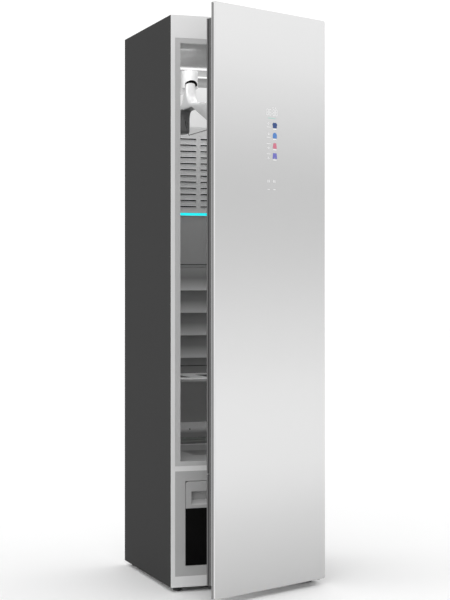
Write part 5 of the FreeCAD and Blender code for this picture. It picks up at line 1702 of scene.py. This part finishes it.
@dataclass
class Display:
    """Lit digits and printed programme signs of the door, in the door's axes.

    Attributes:
        door: The door that carries them.
        centre: Middle of the signs, from the hinge axis.
        thin: Height of the thin printed bars.
        digits: Number of digits.
        digits_low: Height of the digits' foot.
        digit_width: Width of a digit.
        digit_height: Height of a digit.
        digit_pitch: Distance from digit to digit.
        digit_shifts: Shift of the left pair and of the right pair of digits.
        colon: Left side of the colon, from the centre.
        colon_levels: Feet of the colon's dots, as shares of a digit's height.
        lamp_places: The two marks over the digits, from the centre.
        lamp_rise: Digits to those marks.
        line: Ends of the line under the digits, from the centre.
        line_drop: Foot and top of that line, below the digits.
        sign_width: Width of a garment sign.
        sign_height: Height of a garment sign.
        sign_shift: Left side of the signs, from the centre.
        first_sign: Height of the top sign's foot.
        sign_pitch: Distance from sign to sign.
        sign_bar: Ends of the bar under a sign, from the sign's left side.
        sign_bar_drop: Foot and top of that bar, below the sign.
        mark_width: Width of the long bar beside a sign.
        mark_levels: That bar and the dot over a sign's foot, in the two upper rows and below.
        dot: Radius of the dot.
        dot_bar: Ends of the bar on the dot, from the long bar's left side.
        keys_drop: Touch keys below the row after the last sign.
        key_shifts: The left key from the marks, and the right key from the centre.
        key_bar: Ends of the bar under a key.
        key_bar_drop: Foot and top of that bar, below the key.
        key_signs: Ends of a key's two upright marks.
        key_height: Height of a key.
    """

    door: Door
    centre: float = -0.2356
    thin: float = 0.0016
    digits: int = 4
    digits_low: float = 1.520
    digit_width: float = 0.0095
    digit_height: float = 0.020
    digit_pitch: float = 0.012
    digit_shifts: tuple[float, float] = (-0.001, 0.004)
    colon: float = 0.0008
    colon_levels: tuple[float, float] = (0.3, 0.7)
    lamp_places: tuple[float, float] = (0.006, 0.018)
    lamp_rise: float = 0.005
    line: tuple[float, float] = (-0.016, 0.018)
    line_drop: tuple[float, float] = (0.0095, 0.0075)
    sign_width: float = 0.0214
    sign_height: float = 0.018
    sign_shift: float = 0.0041
    first_sign: float = 1.481
    sign_pitch: float = 0.0325
    sign_bar: tuple[float, float] = (0.003, 0.018)
    sign_bar_drop: tuple[float, float] = (0.0045, 0.0025)
    mark_width: float = 0.018
    mark_levels: tuple[tuple[float, float], ...] = ((0.0008, 0.0130), (0.0135, 0.0010))
    dot: float = 0.0034
    dot_bar: tuple[float, float] = (0.003, 0.015)
    keys_drop: float = 0.0435
    key_shifts: tuple[float, float] = (0.003, 0.007)
    key_bar: tuple[float, float] = (0.001, 0.011)
    key_bar_drop: tuple[float, float] = (0.0225, 0.0208)
    key_signs: tuple[tuple[float, float], ...] = ((0.001, 0.0035), (0.0070, 0.0095))
    key_height: float = 0.0085

    def plate(self, name: str, outlines: list[Outline], finish: Finish) -> None:
        """Make one printed sign on the glass.

        Args:
            name: Name of the object.
            outlines: Its closed outlines.
            finish: Its colour.
        """
        shape, front = Shape(), self.door.front
        for outline in outlines:
            shape.prism(Axis.Y, front - self.door.print_depth, front, outline)
        self.door.piece(name, shape, finish)

    def build(self) -> None:
        """Make the digits, the line under them, and each programme's sign and bars."""
        self.build_digits()
        left = self.centre - (self.digits - 1) / 2 * self.digit_pitch - self.digit_width / 2
        ends = (self.centre + end for end in self.line)
        levels = (self.digits_low - drop for drop in self.line_drop)
        self.plate("display_line", [box_outline(*ends, *levels)], PRINT_TEAL)
        colours = (PRINT_NAVY, PRINT_BLUE, PRINT_PINK, PRINT_VIOLET)
        for index, (sign, finish) in enumerate(zip(Sign, colours)):
            self.build_programme(index, sign, finish, left)
        self.build_keys(left)

    def build_digits(self) -> None:
        """Make the seven-bar digits with a colon, and small marks above them."""
        bars: list[Outline] = []
        width, height, low = self.digit_width, self.digit_height, self.digits_low
        for index in range(self.digits):
            u = self.centre + (index - (self.digits - 1) / 2) * self.digit_pitch - width / 2
            u += self.digit_shifts[index // 2]
            for (u0, v0), (u1, v1) in SEGMENTS.values():
                bars.append(box_outline(u + u0 * width, u + u1 * width,
                                        low + v0 * height, low + v1 * height))
        left = self.centre + self.colon
        for share in self.colon_levels:
            v = low + share * height
            bars.append(box_outline(left, left + self.thin, v, v + self.thin))
        for shift in self.lamp_places:
            bars.append(disc_outline(
                self.centre + shift, low + height + self.lamp_rise, self.thin, 12))
        self.plate("display_digits", bars, PRINT_PALE)

    def build_programme(self, index: int, sign: Sign, finish: Finish, left: float) -> None:
        """Make one programme row: a garment, its bar, a small pair of marks and their bar.

        Args:
            index: Row, from the top.
            sign: Garment of the row.
            finish: Colour of the garment.
            left: Left side of the marks.
        """
        name = f"sign_{sign.name.lower()}"
        low, u = self.first_sign - index * self.sign_pitch, self.centre + self.sign_shift
        self.plate(name, [[(u + a * self.sign_width, low + b * self.sign_height)
                           for a, b in SIGN_OUTLINES[sign]]], finish)
        self.plate(f"{name}_bar", [box_outline(
            *(u + end for end in self.sign_bar), *(low - drop for drop in self.sign_bar_drop))],
            PRINT_WHITE)
        bar, dot = (low + level for level in self.mark_levels[index // 2])
        self.plate(f"{name}_marks", [
            box_outline(left, left + self.mark_width, bar, bar + self.thin),
            disc_outline(left + self.mark_width / 2, dot, self.dot, 14),
            box_outline(*(left + end for end in self.dot_bar),
                        dot - self.thin / 2, dot + self.thin / 2),
        ], PRINT_PALE)

    def build_keys(self, left: float) -> None:
        """Make the two lower touch keys.

        Args:
            left: Left side of the marks.
        """
        low = self.first_sign - len(Sign) * self.sign_pitch - self.keys_drop
        marks = []
        for u in (left + self.key_shifts[0], self.centre + self.key_shifts[1]):
            marks.append(box_outline(*(u + end for end in self.key_bar),
                                     *(low - drop for drop in self.key_bar_drop)))
            for sides in self.key_signs:
                marks.append(box_outline(*(u + side for side in sides),
                                         low, low + self.key_height))
        self.plate("touch_keys", marks, PRINT_PALE)


@dataclass
class LowerFront:
    """Front of the machine room with the two tanks.

    Attributes:
        grip_side: Side of a tank cover to its grip.
        grip_depth: Depth of the ramp in a grip.
        grip_foot: Foot of a grip over the cover's foot.
        ramp_rise: Rise of the ramp from its front to its rear.
        ramp_rim: Height of the ramp's front.
    """

    grip_side: float = 0.019
    grip_depth: float = 0.026
    grip_foot: float = 0.0104
    ramp_rise: float = 0.014
    ramp_rim: float = 0.0004

    def build(self) -> None:
        """Dress the front, the covers and the tanks."""
        dress_all({
            LOWER_GREY: ("lower_front_panel",),
            COVER_GREY: ("supply_tank_cover", "drain_tank_cover"),
            TANK_BLACK: ("supply_tank", "drain_tank"),
        })
        self.build_ramp("supply", "supply_drawer")
        self.build_ramp("drain", "cabinet")

    def build_ramp(self, name: str, body: str) -> None:
        """Make the sloping foot of a grip, in a lighter grey that paints the light it catches.

        Args:
            name: "supply" or "drain".
            body: Body that the tank rides on.
        """
        low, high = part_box(f"{name}_tank_cover")
        foot = low.z + self.grip_foot
        make_piece(f"{name}_grip_ramp", Shape().prism(
            Axis.X, low.x + self.grip_side, high.x - self.grip_side, [
                (low.y, foot), (low.y, foot + self.ramp_rim),
                (low.y + self.grip_depth, foot + self.ramp_rise),
                (low.y + self.grip_depth, foot)]), RAMP_PAINTED_LIGHT, body)


@dataclass
class MachineRoom:
    """Steam generator, heat pump, fan and control box behind the tanks."""

    def build(self) -> None:
        """Dress the machines."""
        dress_all({
            BOILER_GREY: ("steam_generator", "water_pump", "fan_housing"),
            PIPE_CLEAR: ("steam_pipes",), MACHINE_BLACK: ("compressor", "fan_motor"),
            COIL_ALUMINIUM: ("condenser", "evaporator"), CHARCOAL: ("fan_impeller",),
            DOOR_LINER: ("control_box",),
        })


# ---------------------------------------------------------------- studio


@dataclass(frozen=True)
class Lamp:
    """A square soft lamp.

    Attributes:
        name: Name of the lamp.
        spot: Where it is.
        aim: Point that it faces.
        size: Side of the square.
        power: Watts.
    """

    name: str
    spot: Point
    aim: Point
    size: float
    power: float

    def build(self) -> None:
        """Make the lamp, out of the camera's sight."""
        lamp = bpy.data.lights.new(self.name, "AREA")
        lamp.size = self.size
        lamp.energy = self.power
        holder = bpy.data.objects.new(self.name, lamp)
        holder.location = self.spot
        holder.visible_camera = False
        facing = Vector(self.aim) - Vector(self.spot)
        holder.rotation_euler = facing.to_track_quat("-Z", "Y").to_euler()
        bpy.context.scene.collection.objects.link(holder)


@dataclass
class Studio:
    """Pale floor, soft lights and the camera.

    Attributes:
        eye: Camera position.
        heading: Camera's turn from +Y towards +X, in degrees.
        lens: Focal length for a 36 mm frame.
        shift: Upward shift of the frame.
        sky: Strength of the even light.
        floor_reach: Half of the floor's side.
    """

    eye: Point = (-1.75393, -4.92565, 0.97496)
    heading: float = 19.345
    lens: float = 93.99
    shift: float = -0.0206
    sky: float = 1.1
    floor_reach: float = 30.0

    def build(self) -> None:
        """Make the floor, the lights and the camera."""
        self.build_floor()
        self.build_lights()
        self.build_camera()

    def build_floor(self) -> None:
        """Make the floor, which isn't part of the object."""
        mesh = bpy.data.meshes.new("studio_floor")
        reach = self.floor_reach
        mesh.from_pydata(ring(Axis.Z, 0.0, box_outline(-reach, reach, -reach, reach)), [],
                         [(0, 1, 2, 3)])
        floor = bpy.data.objects.new("studio_floor", mesh)
        mesh.materials.append(FLOOR_WHITE.material())
        bpy.context.scene.collection.objects.link(floor)

    def build_lights(self) -> None:
        """Make an even white surround, a soft lamp at the front and three in the chamber."""
        world = bpy.data.worlds.new("studio")
        world.use_nodes = True
        surround = next(n for n in world.node_tree.nodes if n.type == "BACKGROUND")
        surround.inputs["Color"].default_value = (1.0, 1.0, 1.0, 1.0)
        surround.inputs["Strength"].default_value = self.sky
        bpy.context.scene.world = world
        bpy.context.scene.view_settings.view_transform = "Standard"
        low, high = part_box("ceiling_lamp")
        middle = (low.z + high.z) / 2
        for lamp in (
            Lamp("front_lamp", spot=(-1.6, -3.4, 3.2), aim=(0.0, 0.0, 1.0), size=2.0, power=20.0),
            Lamp("chamber_lamp", spot=(0.0, low.y - 0.15, low.z - 0.005),
                 aim=(0.0, low.y - 0.12, 0.9), size=0.30, power=0.55),
            Lamp("vent_lamp", spot=(-0.02, 0.16, 1.50), aim=(-0.05, 0.355, 1.44),
                 size=0.12, power=0.055),
            Lamp("chamber_front_lamp", spot=(-0.20, -0.04, middle - 0.03),
                 aim=(-0.12, 0.15, 1.58), size=0.10, power=0.22),
        ):
            lamp.build()

    def build_camera(self) -> None:
        """Make the level camera."""
        lens = bpy.data.cameras.new("camera")
        lens.lens = self.lens
        lens.sensor_width = 36.0
        lens.sensor_fit = "AUTO"
        lens.shift_y = self.shift
        lens.clip_end = 100.0
        camera = bpy.data.objects.new("camera", lens)
        camera.location = self.eye
        camera.rotation_euler = (math.radians(90), 0, math.radians(-self.heading))
        bpy.context.scene.collection.objects.link(camera)
        bpy.context.scene.camera = camera


def main() -> None:
    """Build every sub-assembly in order."""
    logging.basicConfig(level=logging.INFO, format="%(message)s")
    for part in (Studio(), Casing(), Chamber(), Hangers(), Door(), LowerFront(), MachineRoom()):
        part.build()
        LOG.info("built %s", type(part).__name__)


if __name__ == "__main__":
    main()
